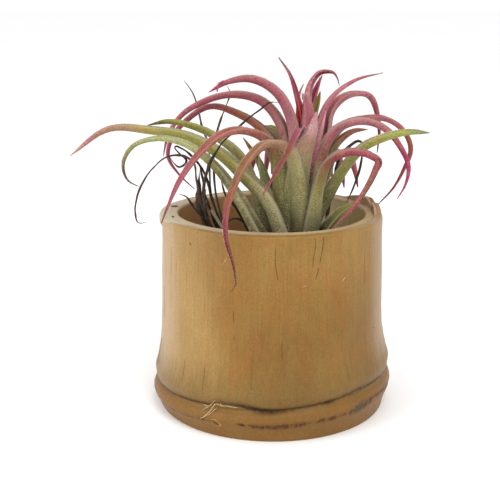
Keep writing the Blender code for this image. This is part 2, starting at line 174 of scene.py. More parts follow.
# The dead leaves, and the collar of old sheaths that they rise from
COLLAR_BORE = 3.5
COLLAR_RADIUS = 5.4
COLLAR_TOP = 29.0
COLLAR_SIDES = 32
COLLAR_PROFILE = (
    (COLLAR_BORE, COLLAR_TOP), (COLLAR_BORE + 0.9, COLLAR_TOP), (COLLAR_RADIUS, 24.0),
    (COLLAR_RADIUS - 0.3, 17.5), (COLLAR_RADIUS + 0.5, 16.5), (COLLAR_RADIUS, 9.5),
    (COLLAR_RADIUS - 0.6, STEM_FOOT), (COLLAR_BORE, STEM_FOOT),
)
STRAND_ROOT = COLLAR_TOP - 8
ELBOW_OUT = 4
ELBOW_RISE = 9.0
STRAND_CUTS = 6
STRAND_SIDES = 8
STRAND_WOBBLE = 0.35
STRAND_SWAY = 0.5
STRAND_TWIST = 2.5
STRAND_FLATNESS = 0.72
STRAND_SILVER = 0.5

# Leaves hidden at the back, placed by the golden angle
HIDDEN_LEAVES = 8
HIDDEN_SEED = 11
HIDDEN_ROOT = 34.0
HIDDEN_WIDTH = 8.5
HIDDEN_TAPER = 5
HIDDEN_FOLD = 40
HIDDEN_SCURF = 0.6
HIDDEN_MIDDLE = 92
HIDDEN_SPREAD = 38
HIDDEN_ARCH = ((9, 68), (14, 82), (21, 92), (30, 97), (39, 95), (46, 87), (50, 77))
GOLDEN_TURN = 0.618

# Groups of leaves, by how their names begin; the rest are in the crown
GROUP_STARTS = {"left": ("left", "arc", "front"), "right": ("right",), "back": ("back", "pale")}

# Scurf hairs that stand out from the margins of the leaves
HAIR_SEED = 5
HAIR_LENGTH = 0.6
HAIR_WIDTH = 0.07
HAIRS_A_STEP = 4
HAIR_CHANCE = 1.2

# The lamps: name, place and size in metres, and power
LAMPS = (
    ("key", (0.35, -0.75, 1.1), 0.7, 6.0),
    ("fill", (-0.8, -0.5, 0.6), 0.6, 3.5),
)
LAMP_AIM = (0.0, 0.0, 0.06)
SKY_STRENGTH = 1.05
FLOOR_RADIUS = 9.0

# Colours that the materials mix in, as linear values
MEAL = (0.66, 0.64, 0.47, 1.0)
HAIR_DARK = (0.56, 0.54, 0.46, 1.0)
HAIR_PALE = (0.76, 0.74, 0.68, 1.0)
DRY_SCURF = (0.4, 0.38, 0.31, 1.0)
PORE = (0.2, 0.12, 0.05, 1.0)
FLOOR_SHADES = ((0.93, 0.93, 0.93, 1.0), (0.95, 0.95, 0.95, 1.0))

# Colours, as red, green and blue from 0 to 255
PALETTE = {
    "silver_green": (152, 144, 94),
    "grey_green": (138, 129, 74),
    "deep_olive": (92, 92, 42),
    "olive": (128, 123, 60),
    "yellow_green": (142, 138, 58),
    "bright_green": (150, 156, 66),
    "pale_green": (158, 162, 108),
    "ochre": (164, 142, 66),
    "tan": (168, 146, 108),
    "pink_tan": (160, 118, 96),
    "orange_tan": (146, 94, 62),
    "rust": (144, 76, 54),
    "red_brown": (124, 70, 50),
    "scarlet": (192, 40, 42),
    "dusty_pink": (174, 108, 120),
    "rose": (163, 82, 98),
    "deep_rose": (148, 54, 74),
    "crimson": (154, 40, 58),
    "magenta": (160, 46, 88),
    "pale_pink": (188, 142, 148),
    "warm_pink": (162, 90, 84),
    "margin": (210, 192, 172),
    "grey_tip": (128, 116, 104),
    "dark_tip": (74, 48, 42),
    "bark": (50, 38, 30),
    "black_bark": (38, 30, 26),
    "purple_bark": (70, 48, 46),
    "silver_bark": (138, 132, 114),
    "grey_bark": (84, 80, 74),
    "brown_bark": (104, 72, 46),
    "skin": (138, 101, 48),
    "skin_light": (156, 122, 66),
    "skin_orange": (142, 96, 42),
    "skin_olive": (132, 108, 50),
    "skin_dark": (116, 82, 38),
    # Straw is also painted light on the left side, and pink and grey are painted reflections at the left
    # and right edges
    "skin_straw_and_left_light": (168, 137, 86),
    "skin_pink_edge_reflection": (178, 152, 120),
    "skin_grey_edge_reflection": (168, 144, 116),
    # Low is also painted shade toward the foot of the wall
    "skin_fibre_and_low_shade": (119, 93, 48),
    "foot_band": (127, 91, 42),
    "stain": (94, 66, 40),
    "groove": (50, 32, 16),
    "scar": (84, 50, 20),
    "scar_grey": (80, 65, 42),
    "scar_edge": (166, 124, 76),
    "slit": (22, 14, 10),
    "cut_left": (188, 174, 150),
    "cut_front": (172, 152, 118),
    "cut_right": (176, 152, 114),
    "cut_back": (188, 168, 142),
    "bore_left": (196, 154, 106),
    "bore_left_deep_shade": (176, 134, 88),
    "bore_right": (232, 214, 166),
    "bore_right_deep_shade": (220, 196, 146),
    "flap": (150, 98, 42),
    "flap_inside": (184, 156, 124),
    "straw": (188, 164, 126),
}

# Each leaf: name, height of its root on the stem, width, how suddenly it narrows at the tip,
# fold of its channel in degrees, its shades from where it clears the cup to its tip, how scurfy
# it is, and the points its midrib passes through.
LEAVES = (
    ("left_long", 33, 11.5, 5, 42,
     ("silver_green", "silver_green", "grey_green", "yellow_green", "yellow_green", "yellow_green",
      "yellow_green", "yellow_green", "ochre", "pink_tan", "pink_tan", "dusty_pink", "tan"), 0.9, (
        (2.5, -13, 69.5), (-1.5, -12, 78), (-9, -9, 85), (-17.5, -6, 92.5),
        (-29, -3.5, 98.5), (-44, -2, 101), (-57.5, -2, 101.5), (-72, -4, 92))),
    ("left_top", 36, 9.5, 6, 42,
     ("grey_green", "olive", "grey_green", "silver_green", "yellow_green", "yellow_green", "dark_tip"),
     0.7, (
        (-4, -5, 71), (-6.5, -1, 81), (-11.5, 2, 91), (-18, 3, 96.5), (-28, 3, 101.5),
        (-37.5, 2, 103.5), (-44.5, 0, 102.5))),
    ("left_curl", 31, 9.5, 2.2, 42,
     ("silver_green", "grey_green", "deep_olive", "olive", "pale_green", "pale_green", "pale_green",
      "grey_green", "dark_tip", "dark_tip"), 0.9, (
        (-7, -16, 70.5), (-12.5, -15.5, 80.5), (-21.5, -13, 91.5), (-32, -10.5, 98),
        (-41.5, -10, 99), (-49, -10, 96), (-52, -11, 89.5), (-50.5, -12, 85), (-46.5, -14, 83))),
    ("arc_top", 40, 10.5, 6, 40,
     ("grey_green", "pale_pink", "dusty_pink", "rose", "rose", "rose", "magenta"), 0.6, (
        (8, 2, 80), (8, 2, 93.5), (6, 3, 105.5), (1, 3, 114),
        (-7.5, 2, 118.5), (-15.5, -2, 118), (-22, -8, 115))),
    ("arc_mid", 38, 10.5, 3, 42,
     ("grey_green", "red_brown", "dusty_pink", "rose", "rose", "rose", "rose", "dusty_pink", "rose"), 0.5, (
        (5, 6, 82), (5, 6, 93), (2.5, 8, 102.5), (-4, 9, 110), (-14.5, 9, 112.5),
        (-24.5, 10, 110), (-34, 10, 104), (-39, 9, 95), (-40, 8, 90))),
    ("arc_low", 36, 11.0, 1.5, 42,
     ("olive", "red_brown", "rust", "rust", "rose", "rose", "rose", "deep_rose", "red_brown"), 0.4, (
        (2, 7, 80), (1.5, 8, 92.5), (-4, 12, 99.5), (-13, 14, 105), (-23, 15, 107.5),
        (-31.5, 16, 102.5), (-37.5, 16, 95.5), (-39, 16, 88.5), (-35.5, 14, 83), (-29, 12, 77))),
    ("front_left", 34, 10.5, 1.8, 42,
     ("grey_green", "olive", "red_brown", "warm_pink", "warm_pink", "warm_pink", "rose", "rose",
      "red_brown"), 0.7, (
        (3, -7, 77), (1.5, -9, 90), (-3.5, -13, 100), (-11, -17.5, 103), (-17, -21.5, 102),
        (-24, -25.5, 96.5), (-30.5, -28, 88), (-35, -27.5, 78.5), (-37.5, -25, 72.5))),
    ("front_fall", 33, 11.5, 1.3, 44,
     ("silver_green", "grey_green", "silver_green", "pink_tan", "orange_tan", "orange_tan", "rust",
      "deep_rose", "crimson", "dark_tip"), 0.7, (
        (9.2, -10.3, 72), (8, -15, 87.5), (4.5, -20, 97.5), (-1.5, -24, 99.5), (-7.5, -30, 95.5),
        (-12, -36, 88), (-14.5, -41, 80.5), (-14.5, -44, 71.5), (-12.5, -44, 64), (-11.5, -43, 56.5))),
    ("top_spire", 44, 12.0, 1.5, 46,
     ("rust", "scarlet", "scarlet", "scarlet", "rose", "deep_rose", "dusty_pink", "dark_tip"), 0.2, (
        (10, 6, 90), (10.5, 5, 103), (8.5, 5, 112.5), (6, 5, 120), (2, 5, 126))),
    ("top_fold", 43, 14.0, 2.6, -60,
     ("rose", "rose", "dusty_pink", "dusty_pink", "rose", "deep_rose", "dark_tip"), 0.4, (
        (11.5, 0.5, 85), (12.4, 4, 106), (12.8, 8, 111.5), (13.4, 10.5, 114.6), (14.8, 12.5, 117.4),
        (17.2, 14, 119.8), (19.8, 12.5, 120.3), (21.5, 10.5, 120.1), (22.8, 8, 118.6), (23.7, 5, 116))),
    ("inside_fold", 44, 9.0, 6, 35,
     ("rust", "crimson", "deep_rose", "magenta", "rose"), 0.3, (
        (12.5, 5, 96), (13, 8, 104), (14.2, 10, 109.4), (15.7, 12, 113.5), (17, 13.5, 116.8),
        (18, 14, 119))),
    ("behind_fold", 43, 6.5, 3, 40,
     ("rust", "rose", "dusty_pink", "dusty_pink"), 0.5, (
        (10, 13, 100), (9.5, 15, 108), (10, 16, 112.5), (11.3, 16, 115.7))),
    ("olive_behind", 42, 9.0, 8, 40,
     ("olive", "olive", "yellow_green", "ochre"), 0.6, (
        (14, 9, 97), (15.1, 11, 105.3), (16.4, 13, 109.1), (17.4, 14, 113.2))),
    ("crown_tip", 42, 8.0, 5, 40,
     ("rose", "rose", "dusty_pink", "dusty_pink"), 0.7, (
        (12.5, -7, 98.5), (13, -8, 106), (12, -10, 112), (10.5, -14, 115), (10, -17, 113.5))),
    ("broad_pale", 40, 14.0, 6, 30,
     ("grey_green", "olive", "silver_green", "tan", "pink_tan", "pale_pink", "dusty_pink"), 1.0, (
        (9, -9, 75.5), (9.3, -11, 85.7), (10.7, -12.5, 92.9), (12.5, -14, 98.7),
        (13.8, -15, 103), (14.8, -16, 109.2))),
    ("beside_pale", 39, 7.5, 3, 38,
     ("rust", "rose", "dusty_pink", "pale_pink"), 0.7, (
        (14.3, -4.6, 80), (14.7, -6, 89.4), (15.5, -8, 95.4), (17.1, -9, 102.2), (18.4, -9, 108.7))),
    ("toward_viewer", 38, 8.0, 1.6, 45,
     ("olive", "dusty_pink", "dusty_pink", "rose", "rust", "deep_rose", "rust"), 0.5, (
        (9, -4, 84.5), (9.5, -7, 98.5), (9.5, -13, 103.5), (7.5, -21, 101.5), (4.5, -28, 96.5),
        (1, -35, 91.5), (-3, -40, 85.5))),
    ("right_spire", 42, 11.0, 1.7, 38,
     ("rust", "dusty_pink", "rose", "dusty_pink", "rose", "grey_tip"), 0.5, (
        (13, -2, 87), (16, 2, 100.5), (21, 6, 111.5), (29.5, 10, 117.5), (40, 14, 120))),
    ("right_hook", 40, 12.5, 1.8, 40,
     ("olive", "rust", "dusty_pink", "rose", "dusty_pink", "rose", "deep_rose", "dark_tip"), 0.5, (
        (15, 4, 82), (19, 8, 96), (21.5, 12, 106.5), (28, 17, 111.5), (35.5, 21, 111),
        (39.5, 24, 103), (40.5, 25, 96), (40, 25, 89))),
    ("right_arc", 37, 11.5, 2.3, 42,
     ("olive", "red_brown", "rose", "dusty_pink", "dusty_pink", "rose", "magenta", "magenta", "magenta"),
     0.6, (
        (15.5, -4, 82), (17.5, -4, 92.5), (22.5, -3, 101.5), (30.5, -3, 104.5), (38.5, -3, 102.5),
        (45, -4, 95.5), (48, -5, 88.5), (47, -7, 83), (44, -9, 78))),
    ("right_back_arc", 36, 9.5, 1.5, 42,
     ("olive", "rust", "rust", "rose", "rose", "rust", "deep_rose", "deep_rose", "dark_tip"), 0.4, (
        (17, 9, 82), (21, 13, 94.5), (26.5, 16, 100.5), (33.5, 18, 102.5), (42, 20, 102.5),
        (49, 22, 98), (52.5, 24, 90.5), (50.5, 26, 82.5), (47, 26, 75.5), (40.5, 24, 68.5))),
    ("right_green", 33, 10.5, 8, 42,
     ("grey_green", "deep_olive", "olive", "olive", "yellow_green", "bright_green", "grey_tip"), 0.6, (
        (15.5, -6, 69.5), (20.5, -7, 80), (25.5, -8, 89), (31, -10, 96),
        (38.5, -12, 100), (46.5, -13, 102), (53.5, -14, 102))),
    ("right_short_brown", 35, 10.5, 6, 40,
     ("olive", "olive", "red_brown", "rust"), 0.4, (
        (16.5, 5, 78.5), (19.5, 8, 88), (24, 10, 95), (30, 12, 99), (35, 13, 99.5))),
    ("right_kink", 34, 10.0, 2.2, 42,
     ("silver_green", "olive", "red_brown", "deep_rose", "deep_rose", "red_brown", "deep_rose",
      "red_brown"), 0.6, (
        (15, -12, 73), (16.5, -15, 84), (20, -19, 93.5), (26, -22, 96.5), (33, -24.5, 95.5),
        (35, -25.5, 94), (34.2, -26.5, 91.8), (31, -30, 86), (25.5, -35, 79.5), (19.5, -39, 74.5))),
    ("right_low_green", 32, 12.0, 5, 35,
     ("deep_olive", "olive", "olive", "yellow_green"), 0.7, (
        (17.8, -12.6, 65.5), (20.3, -15, 70), (23.5, -16, 74.3), (26.2, -15, 76.3), (29, -14, 77.9))),
    ("right_grey", 34, 8.0, 4, 38,
     ("grey_green", "silver_green", "olive"), 0.9, (
        (17.5, 3, 73), (20, 4, 82), (22.5, 5, 88.5))),
    ("back_green", 35, 10.0, 6, 40,
     ("grey_green", "olive", "olive", "grey_green"), 0.6, (
        (3.5, 12, 84.5), (3, 17, 95), (-1.5, 22, 99), (-5.5, 26, 96))),
    ("back_brownish", 33, 9.0, 4, 40,
     ("grey_green", "olive", "red_brown", "olive"), 0.7, (
        (-1.5, 8, 77.5), (-6, 12, 89), (-9.5, 14, 94), (-11, 15, 96))),
    ("pale_upright", 36, 9.0, 4, 40,
     ("silver_green", "pale_green", "silver_green"), 0.9, (
        (-1, 4, 74.5), (-4, 6, 84.5), (-5, 7, 91))),
)

# The second prong of a forked tip, a tip that has dried to a thread, and the dark spot at the bend where a
# leaf
# kinks: width, shade and points
LEAF_THREADS = (
    (1.0, "rose", ((-17.0, -4.5, 118.6), (-18.6, -6, 117.6), (-19.3, -6.4, 115.0))),
    (0.45, "red_brown", ((-11.6, -43, 58.0), (-11.9, -42.8, 56.0), (-13.3, -42.5, 53.6))),
    (0.7, "dark_tip", ((34.6, -26.6, 95.4), (35.6, -27.2, 94.4), (35.8, -27.4, 93.0))),
)
HIDDEN_SHADES = ("grey_green", "olive", "red_brown", "rose", "dusty_pink", "rose", "deep_rose")

# Each dead leaf, by its name: thickness at its root and at its tip, how late it narrows, its
# shade, and its points from the collar to the tip
STRANDS = {
    "trunk": (4.4, 0.9, 4.0, "bark", (
        (-23, -13, 69.5), (-24.8, -14, 74), (-25.5, -15, 77.5), (-25.3, -16, 81.5), (-25, -17, 89))),
    "long_left": (1.4, 0.7, 1.5, "purple_bark", (
        (-24, -16, 76), (-26, -17.5, 86), (-27, -17, 92), (-29.5, -17, 94), (-33, -17, 94.5),
        (-36, -18, 94), (-40.5, -19, 90.5), (-44.5, -20, 85), (-46.5, -20, 79.5),
        (-47, -20, 74.5), (-46, -20, 71.5), (-43.5, -20, 71.5))),
    "long_right": (2.2, 0.6, 1.3, "bark", (
        (-23, -16, 74), (-23.5, -18.5, 83.5), (-21.5, -19.5, 91.5), (-18, -11, 97),
        (-13, -4, 101.5), (-5, -2, 108), (-0.5, -2, 111), (2.5, -2, 110.8))),
    "second": (1.8, 0.8, 2.0, "black_bark", (
        (-19.5, -13, 69), (-21.5, -14, 75), (-23, -15, 79.5), (-24, -14, 85.5), (-25.5, -12, 91))),
    "curl": (1.4, 0.7, 1.5, "bark", (
        (-21.5, -4, 76), (-24, -2, 85), (-28.5, 0, 91), (-33, 2, 94), (-35, 2.5, 94.5),
        (-33.5, 2, 92), (-31, 1, 89.5), (-32, 0, 88), (-33.5, 0, 87.5), (-35.5, 0, 89),
        (-37, 1, 91))),
    "grey_top": (1.2, 0.7, 1.0, "grey_bark", (
        (-22, 0, 77.5), (-23.5, 8, 95), (-26.5, 20, 99), (-28.5, 22, 107.5), (-30, 21, 112),
        (-33, 20, 116.5))),
    "grey_mid": (1.2, 0.7, 1.0, "grey_bark", (
        (-20.5, 2, 77), (-21.5, 8, 88.5), (-19.5, 20, 102), (-17.5, 20, 107), (-16, 18, 113),
        (-17, 17, 115))),
    "short_left": (1.4, 0.8, 2.0, "black_bark", (
        (-25.5, -8, 71.5), (-28.5, -5, 74.5), (-31, -2, 77), (-34.5, 1, 77.5))),
    "scurfy": (2.2, 0.9, 3.0, "silver_bark", (
        (-17, -14, 67.5), (-20.5, -14, 73.5), (-23.5, -13, 78), (-23, -12, 82))),
    "fork": (1.8, 0.9, 1.5, "bark", (
        (-12.8, -9, 74.4), (-14.6, -8, 76.7), (-16, -8, 78.2), (-18, -7, 84))),
    "low_loop": (1.4, 0.9, 1.5, "black_bark", (
        (-8, -17, 64), (-8.7, -17, 69), (-10.6, -17, 71.9), (-14, -18, 72.4), (-15.9, -19, 71))),
    "right_kinked": (1.6, 0.9, 1.5, "bark", (
        (19, -1, 62), (20, -1, 70), (22, -1, 81.5), (24.5, -2, 92.5), (27, -3, 95.5),
        (31, -4, 97.5), (31.5, -5, 93), (29.5, -6, 83.5), (26.5, -6, 76))),
}

# The groove below the node and the broken scar line under it, as rows of azimuth, height, half
# width and darkness
GROOVE = (
    (-180, 9.4, 0.45, 0.8), (-150, 10.0, 0.4, 0.8), (-130, 11.0, 0.4, 0.8), (-124, 11.3, 0.45, 0.7),
    (-119, 11.4, 0.35, 0.6), (-114, 12.9, 0.45, 0.6), (-110, 12.8, 0.4, 0.6), (-106, 12.9, 0.5, 0.8),
    (-102, 12.7, 0.65, 0.95), (-97.5, 12.0, 0.85, 1.0), (-93, 11.4, 0.8, 1.0), (-89, 11.4, 0.6, 0.9),
    (-82, 11.9, 0.4, 0.6), (-75, 12.5, 0.4, 0.55), (-67, 13.0, 0.4, 0.7), (-62, 13.2, 0.7, 1.0),
    (-58, 13.5, 0.4, 0.6), (-55, 13.9, 0.4, 0.7), (-46.5, 14.7, 0.45, 0.75), (-37, 14.5, 0.45, 0.8),
    (-15, 14.2, 0.5, 0.85), (0, 13.4, 0.55, 0.85), (45, 12.9, 0.5, 0.8), (90, 11.5, 0.45, 0.7),
    (135, 9.9, 0.5, 0.8), (180, 9.4, 0.45, 0.8),
)
SCAR_LINE = (
    (-180, 4.2, 0.3, 0.5), (-140, 5.2, 0.3, 0.4), (-107, 6.6, 0.25, 0.0), (-103, 6.6, 0.4, 0.9),
    (-101, 6.5, 0.25, 0.2), (-98, 6.4, 0.45, 0.7), (-93, 6.3, 0.6, 0.75), (-89, 6.2, 0.65, 0.7),
    (-81, 6.7, 0.75, 0.8), (-75, 7.1, 0.6, 0.65), (-72, 7.3, 0.3, 0.2), (-65, 7.6, 0.65, 0.75),
    (-57.5, 7.9, 0.6, 0.8), (-54, 8.0, 0.4, 0.4), (-50.5, 8.0, 0.8, 0.85), (-45.5, 8.6, 1.1, 0.9),
    (-39, 9.1, 0.9, 0.85), (-34.5, 10.0, 0.5, 0.7), (-20, 9.6, 0.5, 0.75), (0, 8.6, 0.4, 0.7),
    (60, 7.2, 0.4, 0.6), (120, 4.6, 0.4, 0.7), (180, 4.2, 0.3, 0.5),
)

# Cracks, and dark or pale scratches: width, shade, and the points of each
SCRATCHES = (
    (0.24, "scar", ((-69, 70.5), (-69, 68.4), (-70.2, 62.1), (-70.3, 60.7))),
    (0.28, "scar", ((-64.9, 70.8), (-64.9, 69.5), (-65.7, 65.6), (-66.6, 61.9))),
    (0.22, "scar", ((-67.2, 60.4), (-68.1, 58.1), (-68.7, 56.5))),
    (0.22, "stain", ((-88.3, 67.6), (-88.3, 63.1), (-87.8, 59.9), (-86.9, 56.8))),
    (0.20, "stain", ((-108.3, 45.5), (-108.1, 41.5))),
    (0.18, "stain", ((-108.0, 37.5), (-107.8, 35.5))),
    (0.18, "stain", ((-85.0, 35.5), (-84.8, 31.0), (-84.6, 29.5))),
    (0.24, "stain", ((-84.0, 19.0), (-83.6, 13.4))),
    (0.24, "stain", ((-81.8, 18.0), (-81.6, 13.8))),
    (0.24, "stain", ((-86.0, 17.0), (-86.0, 14.0))),
    (0.60, "groove", ((-134.0, 66.4), (-132.8, 66.2))),
    (0.45, "groove", ((-27.5, 33.6), (-26.7, 33.4))),
    (0.70, "groove", ((-103.3, 6.6), (-102.2, 6.6))),
    (0.25, "straw", ((-111.6, 63.7), (-114.4, 60.9))),
    (0.22, "straw", ((-75.6, 54.1), (-73.2, 55.0))),
    (0.28, "straw", ((-54.2, 54.4), (-51.8, 55.8))),
    (0.30, "stain", ((35, 30), (35.6, 60))), (0.30, "stain", ((80, 22), (80.5, 48))),
    (0.34, "groove", ((121, 55), (121.5, 70.8))), (0.28, "stain", ((150, 18), (150.6, 40))),
)

# The oval scar where a bud was, with its rim, and a smudge beside it
BUD_SCAR = (
    (1.6, "stain", ((-117.0, 6.2), (-114.2, 5.6))),
    (0.5, "scar_edge", ((-118.0, 6.5), (-116.6, 7.2), (-114.6, 6.6), (-113.2, 5.5), (-114.2, 4.7),
                        (-116.4, 5.0), (-118.0, 6.2))),
    (0.5, "scar", ((-124.0, 6.4), (-121.4, 6.0))),
)

# Dried fibres that lie on the groove: width, and the points of each with how far it stands off
FIBRES = (
    (0.55, ((-112.6, 12.1, 0.3), (-115.3, 12.9, 1.0), (-116.8, 11.7, 1.2), (-118.5, 9.8, 0.8),
            (-121, 7.6, 0.6), (-123.6, 6.3, 0.3))),
    (0.35, ((-115.3, 11.4, 0.5), (-117.3, 9.7, 0.9), (-119.7, 7.9, 0.4))),
    (0.35, ((-118, 12.3, 0.4), (-120.1, 10.9, 0.9), (-123.1, 9.2, 0.4))),
    (0.35, ((-116, 14.1, 0.3), (-117.6, 12.5, 0.9), (-119, 11.5, 0.8), (-121.7, 11.4, 0.7),
            (-123.4, 10.9, 0.3))),
    (0.45, ((-113.6, 13.3, 0.3), (-112.8, 12.7, 0.7), (-109.8, 12.7, 0.6), (-107.6, 12.5, 0.5),
            (-105, 12.5, 0.2))),
)

# A slit, drawn as painted shade in its gap, and a dark spot on the cut face, as width and points of radius
# and azimuth
FACE_MARKS = (
    (3.0, ((38.2, 168.7), (35.4, 169.3))),
    (1.1, ((36.6, -161.2), (36.6, -164.8))),
)


def linear(name):
    """A palette colour as the linear values that a shader takes."""
    shares = np.array(PALETTE[name]) / 255
    return np.where(shares > 0.04045, ((shares + 0.055) / 1.055) ** 2.4, shares / 12.92)


def smooth_step(value, low, high):
    """Rises smoothly from 0 at the low value to 1 at the high one."""
    share = np.clip((np.asarray(value, float) - low) / (high - low), 0.0, 1.0)
    return share * share * (3 - 2 * share)


def blend(first, second, share):
    """Mixes two colours, each one colour or one per point, by a share per point."""
    share = np.asarray(share, float)[..., None]
    return first * (1 - share) + second * share


def over(tint, name, share):
    """The colours with a palette colour painted over them, by a share per point."""
    return blend(tint, linear(name), share)


def grain(points, scale):
    """Smooth noise from about -1 to 1 at each point, with a scale per axis."""
    return np.array([noise.noise(Vector(place)) for place in np.asarray(points) * np.asarray(scale)])


class Skin:
    """Points and faces, with the colours and places painted on them, that gather into one mesh."""

    def __init__(self):
        self.points = []
        self.faces = []
        self.tints = []
        self.places = []
        self.silver = []
        self.count = 0

    def add(self, points, faces, tints, places, silver):
        self.points.append(points)
        self.faces += [tuple(self.count + i for i in face) for face in faces]
        self.tints.append(tints)
        self.places.append(places)
        self.silver.append(silver)
        self.count += len(points)

    def add_rings(self, rings, tints, places, silver):
        """Adds rings of points as one closed skin, with a fan over each end."""
        self.add(capped(rings), rings_closed(*rings.shape[:2]),
                 capped(tints), capped(places), capped(silver))

    def piece(self, name, finish, node, slot_name):
        """Makes the object, which rides on the part's one body and hides the CAD node, if any, that it
        replaces.
        """
        mesh = bpy.data.meshes.new(name)
        mesh.from_pydata((np.concatenate(self.points) * MM).tolist(), [], self.faces)
        tint = mesh.attributes.new("tint", "FLOAT_COLOR", "POINT")
        rows = np.ones((self.count, 4))
        rows[:, :3] = np.concatenate(self.tints)
        tint.data.foreach_set("color", rows.ravel())
        place = mesh.attributes.new("place", "FLOAT_VECTOR", "POINT")
        place.data.foreach_set("vector", np.concatenate(self.places).ravel())
        silver = mesh.attributes.new("silver", "FLOAT", "POINT")
        silver.data.foreach_set("value", np.concatenate(self.silver))
        mesh.shade_smooth()
        mesh.materials.append(finish)
        made = bpy.data.objects.new(name, mesh)
        bpy.context.scene.collection.objects.link(made)
        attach(made, "root")
        if node:
            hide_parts(node)
        return made


class Look:
    """One material's shader and the texture nodes that feed it."""

    def __init__(self, name, roughness, specular):
        self.material = bpy.data.materials.new(name)
        self.material.use_nodes = True
        self.nodes = self.material.node_tree.nodes
        self.links = self.material.node_tree.links
        self.shader = self.nodes["Principled BSDF"]
        self.set_shader({"Roughness": roughness, "Specular IOR Level": specular})

    def set_shader(self, values):
        for name, value in values.items():
            self.shader.inputs[name].default_value = value

    def node(self, kind, settings, inputs):
        made = self.nodes.new(kind)
        for key, value in settings.items():
            setattr(made, key, value)
        for key, value in inputs.items():
            if isinstance(value, bpy.types.NodeSocket):
                self.links.new(value, made.inputs[key])
            else:
                made.inputs[key].default_value = value
        return made

    def painted(self, name, output):
        return self.node("ShaderNodeAttribute", {"attribute_name": name}, {}).outputs[output]

    def painted_values(self):
        """What a Skin paints on its points: the colour, the texture place and the silver value."""
        return self.painted("tint", "Color"), self.painted("place", "Vector"), self.painted("silver", "Fac")

    def stretched(self, vector, scale):
        made = self.node("ShaderNodeVectorMath", {"operation": "MULTIPLY"}, {0: vector, 1: scale})
        return made.outputs[0]

    def noise(self, vector, scale, detail=3.0, roughness=0.5):
        made = self.node("ShaderNodeTexNoise", {}, {
            "Vector": vector, "Scale": scale, "Detail": detail, "Roughness": roughness})
        return made.outputs["Fac"]

    def drawn_noise(self, vector, scale, detail=3.0, roughness=0.5):
        """Noise with a scale per axis, so that it can be drawn out lengthwise."""
        return self.noise(self.stretched(vector, scale), 1.0, detail, roughness)

    def cells(self, vector, scale):
        """How far each point is from the nearest of many scattered ones, with a scale per axis."""
        made = self.node("ShaderNodeTexVoronoi", {}, {
            "Vector": self.stretched(vector, scale), "Scale": 1.0})
        return made.outputs["Distance"]

    def remap(self, value, low, high, new_low=0.0, new_high=1.0):
        made = self.node("ShaderNodeMapRange", {"interpolation_type": "SMOOTHSTEP"}, {
            "Value": value, "From Min": low, "From Max": high, "To Min": new_low, "To Max": new_high})
        return made.outputs[0]

    def maths(self, operation, first, second):
        return self.node("ShaderNodeMath", {"operation": operation}, {0: first, 1: second}).outputs[0]

    def mixed(self, share, first, second, kind="MIX"):
        made = self.node("ShaderNodeMix", {"data_type": "RGBA", "blend_type": kind}, {
            0: share, 6: first, 7: second})
        return made.outputs[2]

    def stained(self, colour, layers):
        """The colour under layers of stain.

        Each layer is the noise that it follows, the range of that noise and of the share that it
        gives, and the factors that the colour is multiplied by where the share is 1.
        """
        for value, span, factors in layers:
            share = self.remap(value, *span)
            colour = self.mixed(share, colour, self.mixed(1.0, colour, (*factors, 1.0), "MULTIPLY"))
        return colour

    def relief(self, layers):
        """Bumps laid one on another, each as its noise, its depth in metres and its strength."""
        normal = None
        for height, distance, strength in layers:
            inputs = {"Height": height, "Distance": distance, "Strength": strength}
            if normal is not None:
                inputs["Normal"] = normal
            normal = self.node("ShaderNodeBump", {}, inputs).outputs[0]
        self.feed("Normal", normal)

    def feed(self, name, socket):
        self.links.new(socket, self.shader.inputs[name])


def leaf_look():
    """Living leaf: painted shades under fine veins, mottling, a mealy grain and silvery scurf."""
    look = Look("living_leaf", 0.7, 0.2)
    tint, place, silver = look.painted_values()
    mottle = look.drawn_noise(place, (0.45, 0.14, 1.0), 4.0)
    patches = look.drawn_noise(place, (0.8, 0.45, 1.0))
    veins = look.drawn_noise(place, (3.6, 0.06, 1.0), 2.0)
    mealy = look.drawn_noise(place, (2.6, 2.2, 1.0), 2.0, 0.7)
    flecks = look.drawn_noise(place, (2.6, 2.4, 1.0), 2.0, 0.6)
    dust = look.drawn_noise(place, (0.6, 0.25, 1.0), 3.0, 0.6)
    base = look.stained(tint, (
        (mottle, (0.4, 0.65, 0.0, 0.6), (0.74, 0.86, 0.7)),
        (patches, (0.45, 0.7, 0.0, 0.6), (1.3, 1.06, 0.98)),
        (veins, (0.48, 0.72, 0.0, 0.35), (1.35, 1.3, 1.2)),
        (mealy, (0.35, 0.55, 0.8, 0.0), (0.66, 0.64, 0.6)),
        (mealy, (0.52, 0.68, 0.0, 0.7), (1.32, 1.32, 1.32)),
    ))
    scurf = look.maths("MULTIPLY", look.remap(flecks, 0.44, 0.62), look.remap(dust, 0.35, 0.65, 0.35, 1.0))
    scurf = look.maths("MULTIPLY", scurf, silver)
    meal = look.mixed(0.35, MEAL, tint)
    look.feed("Base Color", look.mixed(scurf, base, meal))
    look.feed("Roughness", look.remap(scurf, 0.0, 0.6, 0.6, 0.9))
    look.relief(((veins, 0.0001, 0.6), (mealy, 0.00006, 0.5), (flecks, 0.00012, 0.6)))
    look.set_shader({
        "Sheen Weight": 0.12, "Sheen Roughness": 0.4, "Subsurface Weight": 0.12,
        "Subsurface Scale": 0.001, "Subsurface Radius": (1.0, 0.6, 0.3),
    })
    return look.material


def hair_look():
    """Scurf hair: silvery, taking a little of the colour of the leaf it stands on."""
    look = Look("scurf_hair", 0.7, 0.2)
    shade = look.noise(look.painted("place", "Vector"), 0.8)
    pale = look.mixed(look.remap(shade, 0.3, 0.7), HAIR_DARK, HAIR_PALE)
    look.feed("Base Color", look.mixed(0.35, pale, look.painted("tint", "Color")))
    look.set_shader({"Sheen Weight": 0.2})
    return look.material


